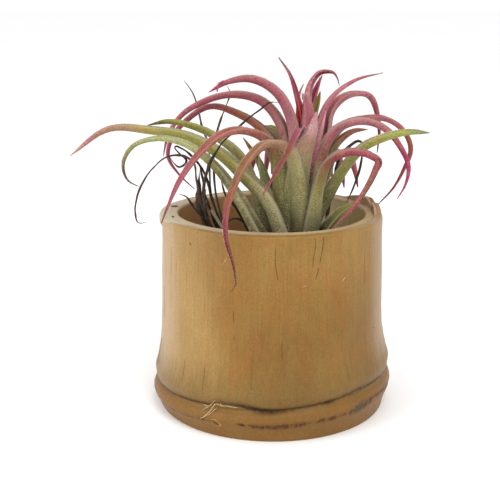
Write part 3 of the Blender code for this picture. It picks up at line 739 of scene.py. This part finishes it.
def dry_look():
    """Dead leaf: dark and wrinkled lengthwise, with grey scurf left on its ridges."""
    look = Look("dry_leaf", 0.8, 0.2)
    tint, place, silver = look.painted_values()
    wrinkles = look.drawn_noise(place, (2.6, 0.3, 1.0), 4.0, 0.6)
    crumbs = look.drawn_noise(place, (2.2, 1.6, 1.0), 2.0, 0.7)
    patches = look.drawn_noise(place, (0.4, 0.2, 1.0))
    base = look.stained(tint, ((patches, (0.4, 0.65, 0.0, 0.6), (1.6, 1.35, 1.1)),))
    ridges = look.maths("MULTIPLY", look.remap(wrinkles, 0.5, 0.66), look.remap(crumbs, 0.4, 0.6))
    scurf = look.maths("MULTIPLY", ridges, silver)
    look.feed("Base Color", look.mixed(scurf, base, DRY_SCURF))
    look.relief(((wrinkles, 0.0003, 0.8), (crumbs, 0.0001, 0.6)))
    return look.material


def bamboo_look():
    """Bamboo: painted zones under lengthwise fibres, soft blotches, specks and cut pores.

    Its cut faces are where the painted silver value is 1.
    """
    look = Look("bamboo", 0.5, 0.2)
    tint, place, cut = look.painted_values()
    fibre = look.drawn_noise(place, (1.2, 1.2, 0.03), 5.0, 0.6)
    threads = look.drawn_noise(place, (3.6, 3.6, 0.1), 3.0, 0.55)
    blotch = look.drawn_noise(place, (0.07, 0.07, 0.05), 5.0, 0.65)
    warmth = look.drawn_noise(place, (0.22, 0.22, 0.1), 4.0, 0.6)
    speckle = look.noise(place, 2.2, 3.0, 0.7)
    specks = look.cells(place, (0.45, 0.45, 0.35))
    pores = look.cells(place, (1.5, 1.5, 0.3))
    base = look.stained(tint, (
        (fibre, (0.4, 0.64, 0.0, 0.4), (0.84, 0.8, 0.72)),
        (threads, (0.52, 0.72, 0.0, 0.4), (1.2, 1.22, 1.26)),
        (blotch, (0.42, 0.62, 0.0, 0.6), (0.86, 0.84, 0.78)),
        (warmth, (0.5, 0.68, 0.0, 0.6), (1.06, 0.97, 0.86)),
        (speckle, (0.36, 0.5, 0.7, 0.0), (0.78, 0.72, 0.64)),
        (speckle, (0.54, 0.68, 0.0, 0.7), (1.2, 1.2, 1.2)),
        (specks, (0.0, 0.12, 0.8, 0.0), (0.6, 0.5, 0.42)),
    ))
    bundles = look.maths("MULTIPLY", look.remap(pores, 0.05, 0.32, 1.0, 0.0), cut)
    base = look.mixed(look.maths("MULTIPLY", bundles, 0.4), base, PORE)
    look.feed("Base Color", base)
    look.feed("Roughness", look.remap(look.maths("ADD", cut, speckle), 0.5, 1.4, 0.42, 0.8))
    look.relief(((fibre, 0.00015, 0.5), (threads, 0.00008, 0.5), (speckle, 0.00008, 0.4)))
    return look.material


def floor_look():
    """A plain pale floor with the faintest unevenness."""
    look = Look("floor", 0.9, 0.1)
    shade = look.noise(look.node("ShaderNodeTexCoord", {}, {}).outputs["Object"], 3.0)
    look.feed("Base Color", look.mixed(shade, *FLOOR_SHADES))
    return look.material


def curve_through(points, cuts):
    """A smooth curve through the points, with each span cut into the same number of steps."""
    knots = [Vector(p) for p in points]
    spans = [after - before for before, after in zip(knots, knots[1:])]
    headings = [spans[0].normalized()]
    for before, after in zip(spans, spans[1:]):
        turn = before.normalized() * after.length + after.normalized() * before.length
        headings.append(turn.normalized())
    headings.append(spans[-1].normalized())
    route = []
    for i, span in enumerate(spans):
        reach = span.length / 3
        start_handle = knots[i] + headings[i] * reach
        end_handle = knots[i + 1] - headings[i + 1] * reach
        route += interpolate_bezier(knots[i], start_handle, end_handle, knots[i + 1], cuts + 1)[:-1]
    route.append(knots[-1])
    return route


def distances_along(route):
    """How far along the route each of its points is."""
    travelled = [0.0]
    for before, after in zip(route, route[1:]):
        travelled.append(travelled[-1] + (after - before).length)
    return np.array(travelled)


def bend_axis(route, outward):
    """The sideways direction that a leaf arches about."""
    axis = Vector((-outward.y, outward.x, 0.0)) * FACING
    for before, at, after in zip(route, route[1:], route[2:]):
        axis += (at - before).normalized().cross((after - at).normalized())
    return axis.normalized()


def frames_along(route, axis):
    """At each point of the route: its heading, and a sideways direction that stays near the axis."""
    headings = []
    sides = []
    side = axis
    for i in range(len(route)):
        ahead = route[min(i + 1, len(route) - 1)]
        behind = route[max(i - 1, 0)]
        along = (ahead - behind).normalized()
        side = side + axis * 0.2
        side = (side - along * side.dot(along)).normalized()
        headings.append(along)
        sides.append(side)
    return np.array(headings), np.array(sides)


def noise_line(distance, number):
    """Where to read noise along a route, so that each numbered route has its own."""
    return np.stack([distance, np.full_like(distance, number), distance * 0], 1)


def placed_along(across, distance, apart):
    """Where a lofted skin reads its texture: across it, along it, and apart from other skins."""
    along = np.repeat(distance[:, None], across.shape[1], axis=1)
    return np.stack([across, along, np.full_like(across, apart)], axis=-1)


def rings_closed(rings, around):
    """Faces that skin rings of points, and a fan at each end round one more point."""
    faces = []
    for i in range(rings - 1):
        low = i * around
        for j in range(around):
            k = (j + 1) % around
            faces.append((low + j, low + k, low + around + k, low + around + j))
    first = rings * around
    last = (rings - 1) * around
    for j in range(around):
        k = (j + 1) % around
        faces.append((first, k, j))
        faces.append((first + 1, last + j, last + k))
    return faces


def capped(rings):
    """Rings of values, flattened, with the mean of the first and of the last ring at the end."""
    flat = rings.reshape(-1, *rings.shape[2:])
    ends = np.stack([rings[0].mean(0), rings[-1].mean(0)])
    return np.concatenate([flat, ends])


def leaf_width(share, width, taper):
    """Narrow at the buried root, widest just above it, then slender to the tip."""
    rise = ROOT_WIDTH + (1 - ROOT_WIDTH) * np.minimum(share / ROOT_END, 1.0)
    flare = 1 + BASE_FLARE * (1 - share) ** 4
    fall = (1 - 0.35 * share) * (1 - share ** taper)
    return LEAF_TIP_WIDTH + (width - LEAF_TIP_WIDTH) * rise * flare * fall


def shaded(shades, share):
    """The colour at each share of the way along a row of palette names."""
    stops = np.array([linear(shade) for shade in shades])
    at = np.linspace(0.0, 1.0, len(shades))
    return np.stack([np.interp(share, at, stops[:, i]) for i in range(3)], axis=-1)


def blade_section(half, thickness, fold):
    """The cross section of a blade at each step: a thin sheet curled up about its midrib.

    Gives each point's place across the blade, whether it is on the outer face, and how far it lies
    to the side and upward.
    """
    angle = math.radians(fold)
    radius = half * math.cos(angle) / math.sin(2 * angle)
    inner = np.linspace(-1.0, 1.0, LEAF_ACROSS)
    across = np.concatenate([inner, inner[-2:0:-1]])
    outer = np.concatenate([np.zeros(LEAF_ACROSS), np.ones(LEAF_ACROSS - 2)])
    turn = across * 2 * angle
    body = 1 - np.abs(across) ** 1.8
    sheet = outer * (MARGIN_THICKNESS + (thickness[:, None] - MARGIN_THICKNESS).clip(0.02) * body)
    reach = radius[:, None] * np.sin(turn) + sheet * np.sin(turn)
    lift = radius[:, None] * (1 - np.cos(turn)) - sheet * np.cos(turn)
    return across, outer, reach, lift


def blade_paint(height, shown, half, across, outer, shades, scurf):
    """The colours of a blade, with painted shade in its channel and at its base, and how silvery it is."""
    channel = smooth_step(np.abs(across), 0.0, 0.8)
    tint = np.repeat(shaded(shades, shown)[:, None], len(across), axis=1)
    # Painted shade: darker in the channel, and at the base, low among the other leaves
    tint = tint * (CHANNEL_SHADE + (1 - CHANNEL_SHADE) * np.where(outer > 0, 1.0, channel))[None, :, None]
    clear = smooth_step(height, SHADE_START, SHADE_END)
    tint = tint * (SHADED_BASE + (1 - SHADED_BASE) * clear)[:, None, None]
    margin = smooth_step(np.abs(across), 0.78, 1.0)[None] * smooth_step(half, 0.8, 3.5)[:, None]
    tint = blend(tint, MARGIN_TINT_SHARE * tint + (1 - MARGIN_TINT_SHARE) * linear("margin"), margin)
    upper_part = smooth_step(shown, 0.0, 0.35)[:, None]
    silver = scurf * (0.4 + 0.6 * (1 - upper_part)) * (0.75 + 0.25 * outer)[None]
    return tint, np.clip(silver + MARGIN_SILVER * margin, 0.0, 1.0)


def leaf_blade(skin, number, root_height, width, taper, fold, shades, scurf, points):
    """A tapering blade folded up along its midrib, its open side toward the stem's axis."""
    axis = Vector((STEM_X, STEM_Y, root_height))
    outward = Vector((points[0][0] - STEM_X, points[0][1] - STEM_Y, 0.0)).normalized()
    route = curve_through([axis + outward * ROOT_OUT, *points], LEAF_CUTS)
    distance = distances_along(route)
    share = distance / distance[-1]
    clear = distance[LEAF_CUTS + 1]
    shown = np.clip((distance - clear) / (distance[-1] - clear), 0.0, 1.0)
    along, side = frames_along(route, bend_axis(route, outward))
    upper = np.cross(along, side)
    route = np.array(route)

    wander = grain(noise_line(distance, number), (0.13, 7.3, 1.0))
    half = leaf_width(share, width, taper) / 2 * (1 + EDGE_WANDER * wander)
    thickness = LEAF_THICKNESS * (1 - 0.25 * share) * np.minimum(1.0, half)
    across, outer, reach, lift = blade_section(half, thickness, fold)
    depth = half * math.sin(math.radians(fold))
    midrib = route - upper * ((depth - thickness) / 2)[:, None]
    rings = midrib[:, None] + side[:, None] * reach[..., None] + upper[:, None] * lift[..., None]

    tint, silver = blade_paint(route[:, 2], shown, half, across, outer, shades, scurf)
    place = placed_along(reach + PLACE_APART * outer[None], distance, number * 13.7)
    skin.add_rings(rings, tint, place, silver)
    return rings, tint, silver, side, upper


def hidden_leaf_points(number, draw):
    """An arching leaf behind the plant, reaching out and down over the back of the cup."""
    across = 2 * (number * GOLDEN_TURN % 1.0) - 1
    azimuth = math.radians(HIDDEN_MIDDLE + HIDDEN_SPREAD * across)
    reach = draw.uniform(0.9, 1.15) - 0.2 * abs(across)
    height = draw.uniform(-5.0, 0.0) - 5 * abs(across)
    points = []
    for out, up in HIDDEN_ARCH:
        level = up + height * (up - 60) / 35
        points.append((
            STEM_X + out * reach * math.cos(azimuth),
            STEM_Y + out * reach * math.sin(azimuth),
            level,
        ))
    return points


def unit(vector):
    """The vector, made 1 long."""
    return vector / np.linalg.norm(vector)


def add_hairs(skin, blade, draw):
    """Short silvery hairs along both margins of a blade, most of them on its scurfy lower half."""
    rings, tint, silver, side, upper = blade
    for i in range(LEAF_CUTS, len(rings) - 2):
        for edge, way in ((0, -1.0), (LEAF_ACROSS - 1, 1.0)):
            for _ in range(HAIRS_A_STEP):
                if draw.random() > silver[i, edge] * HAIR_CHANCE:
                    continue
                share = draw.random()
                root = rings[i, edge] * (1 - share) + rings[i + 1, edge] * share
                ahead = unit(rings[i + 1, edge] - rings[i, edge])
                lean = side[i] * way + upper[i] * draw.uniform(0.0, 1.2) + ahead * draw.uniform(0.2, 1.0)
                lean = unit(lean)
                length = HAIR_LENGTH * draw.uniform(0.6, 1.2)
                foot = [root + out * HAIR_WIDTH for out in (-ahead, ahead, unit(np.cross(ahead, lean)))]
                points = np.array([*foot, root + lean * length])
                skin.add(points, [(0, 1, 2), (0, 3, 1), (1, 3, 2), (2, 3, 0)],
                         np.repeat(tint[i, edge][None], 4, axis=0), points, np.ones(4))


def leaf_group(name):
    """The name of the group that a leaf belongs to."""
    for group, starts in GROUP_STARTS.items():
        if name.startswith(starts):
            return group
    return "crown"


def living_leaves():
    """The rosette, in groups of leaves, and the hairs on them."""
    finish = leaf_look()
    groups = {name: Skin() for name in ("left", "crown", "right", "back")}
    hairs = Skin()
    draw = random.Random(HAIR_SEED)
    for number, (name, *leaf) in enumerate(LEAVES):
        blade = leaf_blade(groups[leaf_group(name)], number, *leaf)
        add_hairs(hairs, blade, draw)
    draw = random.Random(HIDDEN_SEED)
    for number in range(HIDDEN_LEAVES):
        points = hidden_leaf_points(number, draw)
        leaf_blade(groups["back"], len(LEAVES) + number, HIDDEN_ROOT + number, HIDDEN_WIDTH,
                   HIDDEN_TAPER, HIDDEN_FOLD, HIDDEN_SHADES, HIDDEN_SCURF, points)
    stem(groups["back"])
    for number, (width, shade, points) in enumerate(LEAF_THREADS):
        strip(groups["left"], number, points, width, width * 0.6, (0, -1, 0), shade)
    for name, skin in groups.items():
        skin.piece(f"living_leaves_{name}", finish, "leaf_rosette", "living_leaf")
    hairs.piece("leaf_hairs", hair_look(), None, "living_leaf")


def turned(profile, sides):
    """Rings of points round the stem's axis, one for each radius and height of a profile."""
    turns = np.linspace(0, 2 * math.pi, sides, endpoint=False)
    return np.array([[(STEM_X + radius * math.cos(turn), STEM_Y + radius * math.sin(turn), height)
                      for turn in turns] for radius, height in profile])


def stem(skin):
    """The short stem that every leaf grows from."""
    rings = turned(STEM_PROFILE, STEM_SIDES)
    tint = np.broadcast_to(linear("brown_bark"), rings.shape)
    skin.add_rings(rings, tint, rings, np.full(rings.shape[:2], 0.3))


def strand_tube(skin, number, thick, thin, late, shade, points):
    """A withered leaf, dried to a thin wrinkled strand, from the collar out to its tip."""
    outward = Vector((points[0][0] - STEM_X, points[0][1] - STEM_Y, 0.0)).normalized()
    root = Vector((STEM_X, STEM_Y, STRAND_ROOT)) + outward * (COLLAR_BORE + GAP + thick / 2)
    elbow = root + outward * ELBOW_OUT + Vector((0.0, 0.0, ELBOW_RISE))
    route = curve_through([root, elbow, *points], STRAND_CUTS)
    distance = distances_along(route)
    share = distance / distance[-1]
    along, side = frames_along(route, Vector((-outward.y, outward.x, 0.0)))
    upper = np.cross(along, side)
    line = noise_line(distance, number)
    radius = (thick + (thin - thick) * share ** late) / 2
    radius = radius * (1 + STRAND_WOBBLE * grain(line, (0.6, 5.1, 1.0)))
    radius = radius * np.minimum(1.0, (1 - share) * 14 + 0.25)
    sway = grain(line, (0.25, 3.7, 1.0)) * STRAND_SWAY * smooth_step(share, 0.1, 0.3)
    twist = grain(line, (0.08, 9.1, 1.0)) * STRAND_TWIST
    centre = np.array(route) + side * sway[:, None]
    turns = np.linspace(0, 2 * math.pi, STRAND_SIDES, endpoint=False)
    angle = turns[None] + twist[:, None]
    flat = STRAND_FLATNESS + 0.2 * np.sin(distance * 0.3 + number)
    wide = radius[:, None] * np.cos(turns)[None]
    deep = radius[:, None] * flat[:, None] * np.sin(turns)[None]
    reach = wide * np.cos(twist)[:, None] - deep * np.sin(twist)[:, None]
    lift = wide * np.sin(twist)[:, None] + deep * np.cos(twist)[:, None]
    rings = centre[:, None] + side[:, None] * reach[..., None] + upper[:, None] * lift[..., None]
    tint = np.broadcast_to(linear(shade), rings.shape)
    place = placed_along(angle * 1.5, distance, number * 9.3)
    silver = np.full(reach.shape, STRAND_SILVER) * (0.6 + 0.8 * (1 - share))[:, None]
    skin.add_rings(rings, tint, place, silver)


def collar(skin):
    """The sleeve of old sheaths round the stem, ribbed where one sheath ends on the next."""
    rings = turned(COLLAR_PROFILE, COLLAR_SIDES)
    count = len(COLLAR_PROFILE)
    faces = []
    for i in range(count):
        low = i * COLLAR_SIDES
        high = (i + 1) % count * COLLAR_SIDES
        for j in range(COLLAR_SIDES):
            k = (j + 1) % COLLAR_SIDES
            faces.append((low + j, high + j, high + k, low + k))
    tint = np.broadcast_to(linear("brown_bark"), rings.shape)
    skin.add(rings.reshape(-1, 3), faces, tint.reshape(-1, 3), rings.reshape(-1, 3),
             np.full(count * COLLAR_SIDES, 0.6))


def dry_leaves():
    """The collar of old sheaths and the withered strands that rise from it."""
    skin = Skin()
    collar(skin)
    for number, strand in enumerate(STRANDS.values()):
        strand_tube(skin, number, *strand)
    skin.piece("dry_strands", dry_look(), "dry_leaves", "dry_leaf")


def cup_rows():
    """The half section cut into short rows, with the corners of the node softened."""
    rows = []
    for run, longest in CUP_RUNS:
        for start, end in zip(np.array(run), np.array(run[1:])):
            cuts = max(1, round(math.hypot(*(end - start)) / longest))
            rows += [start + (end - start) * i / cuts for i in range(cuts)]
    rows.append(CUP_FOOT[-1])
    rows = np.array(rows)
    node = (rows[:, 1] > 1.0) & (rows[:, 1] < 26.0) & (rows[:, 0] > 38.0)
    for _ in range(SOFTENINGS):
        soft = rows.copy()
        soft[1:-1] = (rows[:-2] + 2 * rows[1:-1] + rows[2:]) / 4
        rows = np.where(node[:, None], soft, rows)
    return rows


def cup_columns():
    """The azimuths of the cup's columns of points, closer together round the front."""
    back = np.arange(FRONT_END - 2 * math.pi, FRONT_START, BACK_STEP)
    front = np.arange(FRONT_START, FRONT_END, FRONT_STEP)
    turns = np.concatenate([back, front])
    return np.where(turns > math.pi, turns - 2 * math.pi, turns)


def hump(value, low, high):
    """A smooth hump between two limits, 1 in the middle and 0 outside."""
    share = np.clip((value - low) / (high - low), 0.0, 1.0)
    return np.sin(math.pi * share).clip(0.0) ** 0.7


def flap_rise(radius, azimuth, level):
    """How far the flap of skin stands above the rim, lower where it is notched."""
    flap = FLAP_HEIGHT * hump(azimuth, FLAP_START, FLAP_END)
    flap = flap * (1 - FLAP_NOTCH_DEPTH * hump(azimuth, FLAP_NOTCH_START, FLAP_NOTCH_END))
    return np.where((level > RIM_HEIGHT - 1) & (radius > FLAP_INNER_RADIUS), flap, 0.0)


def grown_offset(radius, azimuth, level):
    """How far a point of the turned cup moves, because the culm grew and was not turned."""
    right = radius * np.cos(azimuth)
    climb = np.where(radius > BORE_RADIUS + 1, RING_CLIMB * right * hump(level, 0.5, NODE_TOP), 0.0)
    swell = SWELL * np.cos(2 * azimuth + 0.6) + FINE_SWELL * np.cos(5 * azimuth)
    swell = np.where(radius > BORE_RADIUS + 3, swell * hump(level, 0.5, NODE_TOP - 2), 0.0)
    bore = BORE_SWELL * np.cos(2 * azimuth + 0.5) - FINE_BORE_SWELL * np.cos(3 * azimuth)
    mouth = smooth_step(level, BORE_EVEN_HEIGHT, RIM_HEIGHT - 1)
    mouth = mouth * (1 - smooth_step(radius, BORE_RADIUS + 0.5, CUT_FACE_RADIUS))
    swell = swell + bore * mouth
    left = smooth_step(-np.cos(azimuth), 0.86, 0.97)
    left = left * smooth_step(level, RIM_HEIGHT - 4.5, RIM_HEIGHT - 2.5)
    swell = swell + LEFT_BULGE * left * smooth_step(radius, CUT_FACE_RADIUS, RIM_RADIUS)
    flap = flap_rise(radius, azimuth, level)
    return swell - FLAP_LEAN * flap / FLAP_HEIGHT, climb + flap


def wall_point(azimuth, height, lift):
    """The point on the grown wall at an azimuth and a height, raised off it by a lift."""
    outline = np.array(CUP_WALL + CUP_NODE)[::-1]
    turn = math.radians(azimuth)
    level = height
    for _ in range(LEVEL_ROUNDS):
        radius = np.interp(level, outline[:, 1], outline[:, 0])
        outward, upward = grown_offset(radius, turn, level)
        level = height - float(upward)
    reach = radius + float(outward) + lift
    return Vector((reach * math.cos(turn), reach * math.sin(turn), height))


def face_point(radius, azimuth):
    """The point just above the cut face at a radius and an azimuth."""
    turn = math.radians(azimuth)
    return Vector((radius * math.cos(turn), radius * math.sin(turn), RIM_HEIGHT + FACE_MARK_LIFT))


def strip(skin, number, points, width, thickness, facing, shade):
    """A thin closed strip along the points, lying flat to the side it faces, ragged in width."""
    route = curve_through(points, STRIP_CUTS)
    distance = distances_along(route)
    share = distance / distance[-1]
    wander = grain(noise_line(distance, number), (1.1, 7.7, 1.0))
    half = width / 2 * (0.9 + 0.7 * wander).clip(0.15)
    half = half * (0.25 + 0.75 * np.sin(math.pi * share).clip(0.0) ** 0.5)
    turns = np.linspace(0, 2 * math.pi, STRIP_SIDES, endpoint=False)
    rings = []
    for i, at in enumerate(route):
        along = (route[min(i + 1, len(route) - 1)] - route[max(i - 1, 0)]).normalized()
        normal = Vector(facing) if facing else Vector((at.x, at.y, 0.0)).normalized()
        side = along.cross(normal).normalized()
        rings.append([at + side * half[i] * math.cos(turn) + normal * thickness / 2 * math.sin(turn)
                      for turn in turns])
    rings = np.array(rings)
    tint = np.broadcast_to(linear(shade), rings.shape)
    skin.add_rings(rings, tint, rings, np.zeros(rings.shape[:2]))


def wall_marks(skin):
    """Cracks, scratches, scars and dried fibres, each a fine strip on the skin of the bamboo."""
    for number, (width, shade, points) in enumerate(SCRATCHES + BUD_SCAR):
        route = [wall_point(azimuth, height, MARK_LIFT) for azimuth, height in points]
        strip(skin, number, route, width, MARK_THICKNESS, None, shade)
    for number, (width, points) in enumerate(FIBRES):
        route = [wall_point(*point) for point in points]
        strip(skin, number + DRIED_NOISE, route, width * 0.8, width * 0.5, None, "straw")
    # The slit's dark strip is painted shade in its gap; the spot shares its colour
    for number, (width, points) in enumerate(FACE_MARKS):
        route = [face_point(*point) for point in points]
        strip(skin, number + FACE_NOISE, route, width, MARK_THICKNESS, (0, 0, 1), "slit")


def fibre_lines(skin):
    """Short fine lines of fibre, scattered over the skin and almost sunk in it."""
    draw = random.Random(LINE_SEED)
    for number in range(FIBRE_LINES):
        azimuth = draw.uniform(-180, 180)
        low = draw.choice(LINE_STARTS) + draw.uniform(0.0, 6.0)
        high = low + draw.uniform(3.0, 12.0)
        ends = ((azimuth, low), (azimuth + draw.uniform(-0.4, 0.4), high))
        route = [wall_point(turn, height, -MARK_LIFT) for turn, height in ends]
        strip(skin, number + LINE_NOISE, route, draw.uniform(0.06, 0.1), LINE_THICKNESS, None,
              draw.choice(LINE_SHADES))


def along_ring(rows, azimuth):
    """The height, half width and darkness of a line round the wall, at each azimuth."""
    table = np.array(rows)
    degrees = np.degrees(azimuth)
    return [np.interp(degrees, table[:, 0], table[:, i]) for i in (1, 2, 3)]


def ring_noise(azimuth, scale):
    """Smooth noise round the cup, the same at every height."""
    ring = np.stack([np.cos(azimuth[0]) * 6, np.sin(azimuth[0]) * 6, azimuth[0] * 0], 1)
    return grain(ring, (scale, scale, 1.0))[None]


def ring_mark(rows, azimuth, grown):
    """How dark a line round the wall is, and how strongly it marks each point."""
    height, half, dark = along_ring(rows, azimuth)
    turns = azimuth[0]
    ragged = 0.25 * grain(np.stack([turns * 40, turns * 0, turns * 0], -1), (0.8, 1.0, 1.0))
    return dark, np.exp(-((grown - height - ragged) / (half * RING_WIDTH)) ** 2)


def cup_marks(azimuth, level, grown, outside):
    """The groove and the scar line, each as strength and darkness, and the wear by the groove."""
    places = np.stack([azimuth * 40, level, level * 0], -1).reshape(-1, 3)
    crumbs = smooth_step(grain(places, (0.9, 1.6, 1.0)).reshape(level.shape), -0.35, 0.1)
    broken = smooth_step(ring_noise(azimuth, 4.3) + 0.6 * ring_noise(azimuth, 9.7), -0.4, -0.1)
    groove_dark, groove = ring_mark(GROOVE, azimuth, grown)
    groove = groove * outside * (0.7 + 0.3 * crumbs)
    scar_dark, scar = ring_mark(SCAR_LINE, azimuth, grown)
    scar = scar * outside * (0.2 + 0.8 * broken) * (0.35 + 0.65 * crumbs)
    wear_height, _, _ = along_ring(GROOVE, azimuth)
    wear = np.exp(-((grown - wear_height - 0.9) / 0.8) ** 2) * outside
    return groove, groove_dark, scar, scar_dark, wear


def wall_tint(azimuth, level, points, streaks):
    """The skin's colours before its grooves and scars, with painted light, reflections and shade."""
    soft = grain(points, (0.035, 0.035, 0.02)).reshape(level.shape)
    patch = grain(points + 50, (0.2, 0.2, 0.1)).reshape(level.shape)
    tint = blend(linear("skin"), linear("skin_light"), smooth_step(soft, -0.1, 0.5) * 0.8)
    tint = over(tint, "skin_dark", smooth_step(-soft, 0.0, 0.5) * 0.5)
    tint = over(tint, "skin_orange", smooth_step(patch, 0.0, 0.4) * 0.3)
    tint = over(tint, "skin_olive", smooth_step(-patch, 0.0, 0.4) * 0.3)
    # Painted light: lighter over the left side, as if lit from the left, and painted reflections of the
    # white room at the left and right edges
    across = np.cos(azimuth)
    tint = over(tint, "skin_straw_and_left_light", smooth_step(-across, 0.25, 0.8) * 0.8)
    tint = over(tint, "skin_pink_edge_reflection", smooth_step(-across, 0.74, 0.95) * 0.85)
    tint = over(tint, "skin_grey_edge_reflection", smooth_step(across, 0.82, 0.97) * 0.7)
    # Painted shade: darker from the node ring down toward the foot
    low = smooth_step(19 + 3 * streaks - level, -10, 4)
    tint = over(tint, "skin_fibre_and_low_shade", low * 0.8)
    return over(tint, "foot_band", smooth_step(12 - level, -1, 2))


def rim_tint(azimuth, radius, tint, rough):
    """The colours of the cut face, which meets the skin at a ragged brown line."""
    across = np.cos(azimuth)
    cut = blend(linear("cut_front"), linear("cut_left"), smooth_step(-across, 0.2, 0.9))
    cut = over(cut, "cut_right", smooth_step(across, 0.3, 0.9) * (azimuth < 0))
    cut = over(cut, "cut_back", smooth_step(np.sin(azimuth), -0.1, 0.4))
    flap = np.clip(2 * hump(azimuth, FLAP_START, FLAP_END), 0, 1)
    edge = CUT_FACE_RADIUS + 0.9 * rough + 3.5 * smooth_step(-across, 0.75, 0.95) + 2.5 * flap
    inner = over(cut, "flap_inside", flap * smooth_step(radius, 36.0, FLAP_INNER_RADIUS))
    inner = over(inner, "stain", np.exp(-((radius - edge + 0.2) / 0.25) ** 2) * 0.55)
    return blend(inner, tint, smooth_step(radius, edge - 0.1, edge + 0.4))


def bore_tint(azimuth, level):
    """The colours inside the cup: brown at the left, pale at the right, with painted shade below."""
    right = smooth_step(np.cos(azimuth), -0.2, 0.7)
    upper = blend(linear("bore_left"), linear("bore_right"), right)
    # Painted shade, deeper in the cup
    lower = blend(linear("bore_left_deep_shade"), linear("bore_right_deep_shade"), right)
    return blend(upper, lower, smooth_step(RIM_HEIGHT - level, 0, 30))


def marked_tint(tint, azimuth, marks):
    """The skin's colours with the groove (its brown and painted shade), the scar line and the wear painted
    over them.
    """
    groove, groove_dark, scar, scar_dark, wear = marks
    tint = over(tint, "stain", wear * 0.35)
    # The groove's dark line is partly its own brown and partly painted shade in the groove
    tint = over(tint, "groove", np.clip(groove * groove_dark * 1.15, 0, 1))
    patch = blend(linear("scar"), linear("scar_grey"), hump(np.degrees(azimuth), -54, -36))
    return blend(tint, patch, np.clip(scar * scar_dark * 2.4, 0, 1))


def flap_tint(tint, azimuth, radius, level, top):
    """The colours with the raised flap of skin painted over them, and painted shade along its fold."""
    raised = hump(azimuth, FLAP_START, FLAP_END)
    flap = raised * smooth_step(radius, FLAP_FOLD - 0.5, FLAP_FOLD)
    flap = flap * smooth_step(level, RIM_HEIGHT - 3, RIM_HEIGHT - 1)
    tint = over(tint, "flap", np.clip(flap * 1.3, 0, 1) * 0.9)
    # Painted shade in the crease along the flap's fold
    fold = raised * np.exp(-((radius - FLAP_FOLD) / 0.3) ** 2)
    return over(tint, "stain", fold * top * 0.8)


def bamboo_cup():
    """The cup, turned and then given its flap of skin, tilted node ring, cracks and stains."""
    rows = cup_rows()
    turns = cup_columns()
    azimuth, radius = np.meshgrid(turns, rows[:, 0])
    _, level = np.meshgrid(turns, rows[:, 1])
    outside = (radius > RIM_RADIUS - 0.2) & (level < RIM_HEIGHT - 0.2)
    top = (level > RIM_HEIGHT - 0.9) & (radius > BORE_RADIUS - 0.2)
    inside = (radius <= BORE_RADIUS) & (level >= FLOOR_TOP) & ~top
    foot = level < 0.4

    outward, upward = grown_offset(radius, azimuth, level)
    marks = cup_marks(azimuth, level, level + upward, outside)
    groove, _, scar, scar_dark, wear = marks
    streaks = ring_noise(azimuth, 5.0)
    rough = ring_noise(azimuth, 2.1) * 0.4 + ring_noise(azimuth, 7.1) * 0.3
    outward = outward - GROOVE_DEPTH * groove - WEAR_DEPTH * wear - SCAR_DEPTH * scar * scar_dark
    outward = outward + STREAK_RELIEF * streaks * outside + FACE_RELIEF * rough * top
    upward = upward + FACE_RELIEF * rough * (top & (radius > CUT_FACE_RADIUS - 0.5))
    reach = radius + outward
    points = np.stack([reach * np.cos(azimuth), reach * np.sin(azimuth), level + upward], axis=-1)
    points = points.reshape(-1, 3)

    tint = marked_tint(wall_tint(azimuth, level, points, streaks), azimuth, marks)
    tint = np.where(top[..., None], rim_tint(azimuth, radius, tint, rough), tint)
    tint = flap_tint(tint, azimuth, radius, level, top)
    tint = np.where(inside[..., None], bore_tint(azimuth, level), tint)
    tint = over(tint, "cut_front", foot * 0.6).reshape(-1, 3)
    cut = ((top & (radius < CUT_FACE_RADIUS)) | foot).astype(float).ravel()

    points = np.concatenate([points, [(0.0, 0.0, FLOOR_TOP), (0.0, 0.0, 0.0)]])
    tint = np.concatenate([tint, tint[:1], tint[-1:]])
    cut = np.concatenate([cut, [0.0, 1.0]])
    faces = [face[::-1] for face in rings_closed(len(rows), len(turns))]
    skin = Skin()
    skin.add(points, faces, tint, points, cut)
    wall_marks(skin)
    fibre_lines(skin)
    skin.piece("bamboo_cup_grown", bamboo_look(), "bamboo_cup", "bamboo")


def floor():
    """The plain floor, which runs on far behind the cup."""
    bpy.ops.mesh.primitive_circle_add(vertices=96, radius=FLOOR_RADIUS, fill_type="NGON")
    ground = bpy.context.object
    ground.name = "floor"
    ground.data.materials.append(floor_look())


def area_light(name, place, size, power):
    """A round lamp that shines toward the middle of the plant and its cup."""
    data = bpy.data.lights.new(name, "AREA")
    data.shape = "DISK"
    data.size = size
    data.energy = power
    lamp = bpy.data.objects.new(name, data)
    lamp.location = place
    lamp.rotation_euler = (Vector(LAMP_AIM) - Vector(place)).to_track_quat("-Z", "Y").to_euler()
    bpy.context.scene.collection.objects.link(lamp)


def studio():
    """A white room of soft light, with a lamp above the front and a weaker one at the left."""
    world = bpy.data.worlds.new("studio")
    world.use_nodes = True
    sky = world.node_tree.nodes["Background"]
    sky.inputs["Color"].default_value = (1.0, 1.0, 1.0, 1.0)
    sky.inputs["Strength"].default_value = SKY_STRENGTH
    bpy.context.scene.world = world
    bpy.context.scene.view_settings.view_transform = "Standard"
    for lamp in LAMPS:
        area_light(*lamp)


def camera():
    """The camera, with the photograph's point of view."""
    data = bpy.data.cameras.new("camera")
    data.lens = CAMERA_LENS
    data.clip_start = 0.01
    data.clip_end = 30.0
    made = bpy.data.objects.new("camera", data)
    made.location = [value * MM for value in CAMERA_PLACE]
    made.rotation_euler = CAMERA_TURN
    bpy.context.scene.collection.objects.link(made)
    bpy.context.scene.camera = made


camera()
studio()
floor()
bamboo_cup()
living_leaves()
dry_leaves()
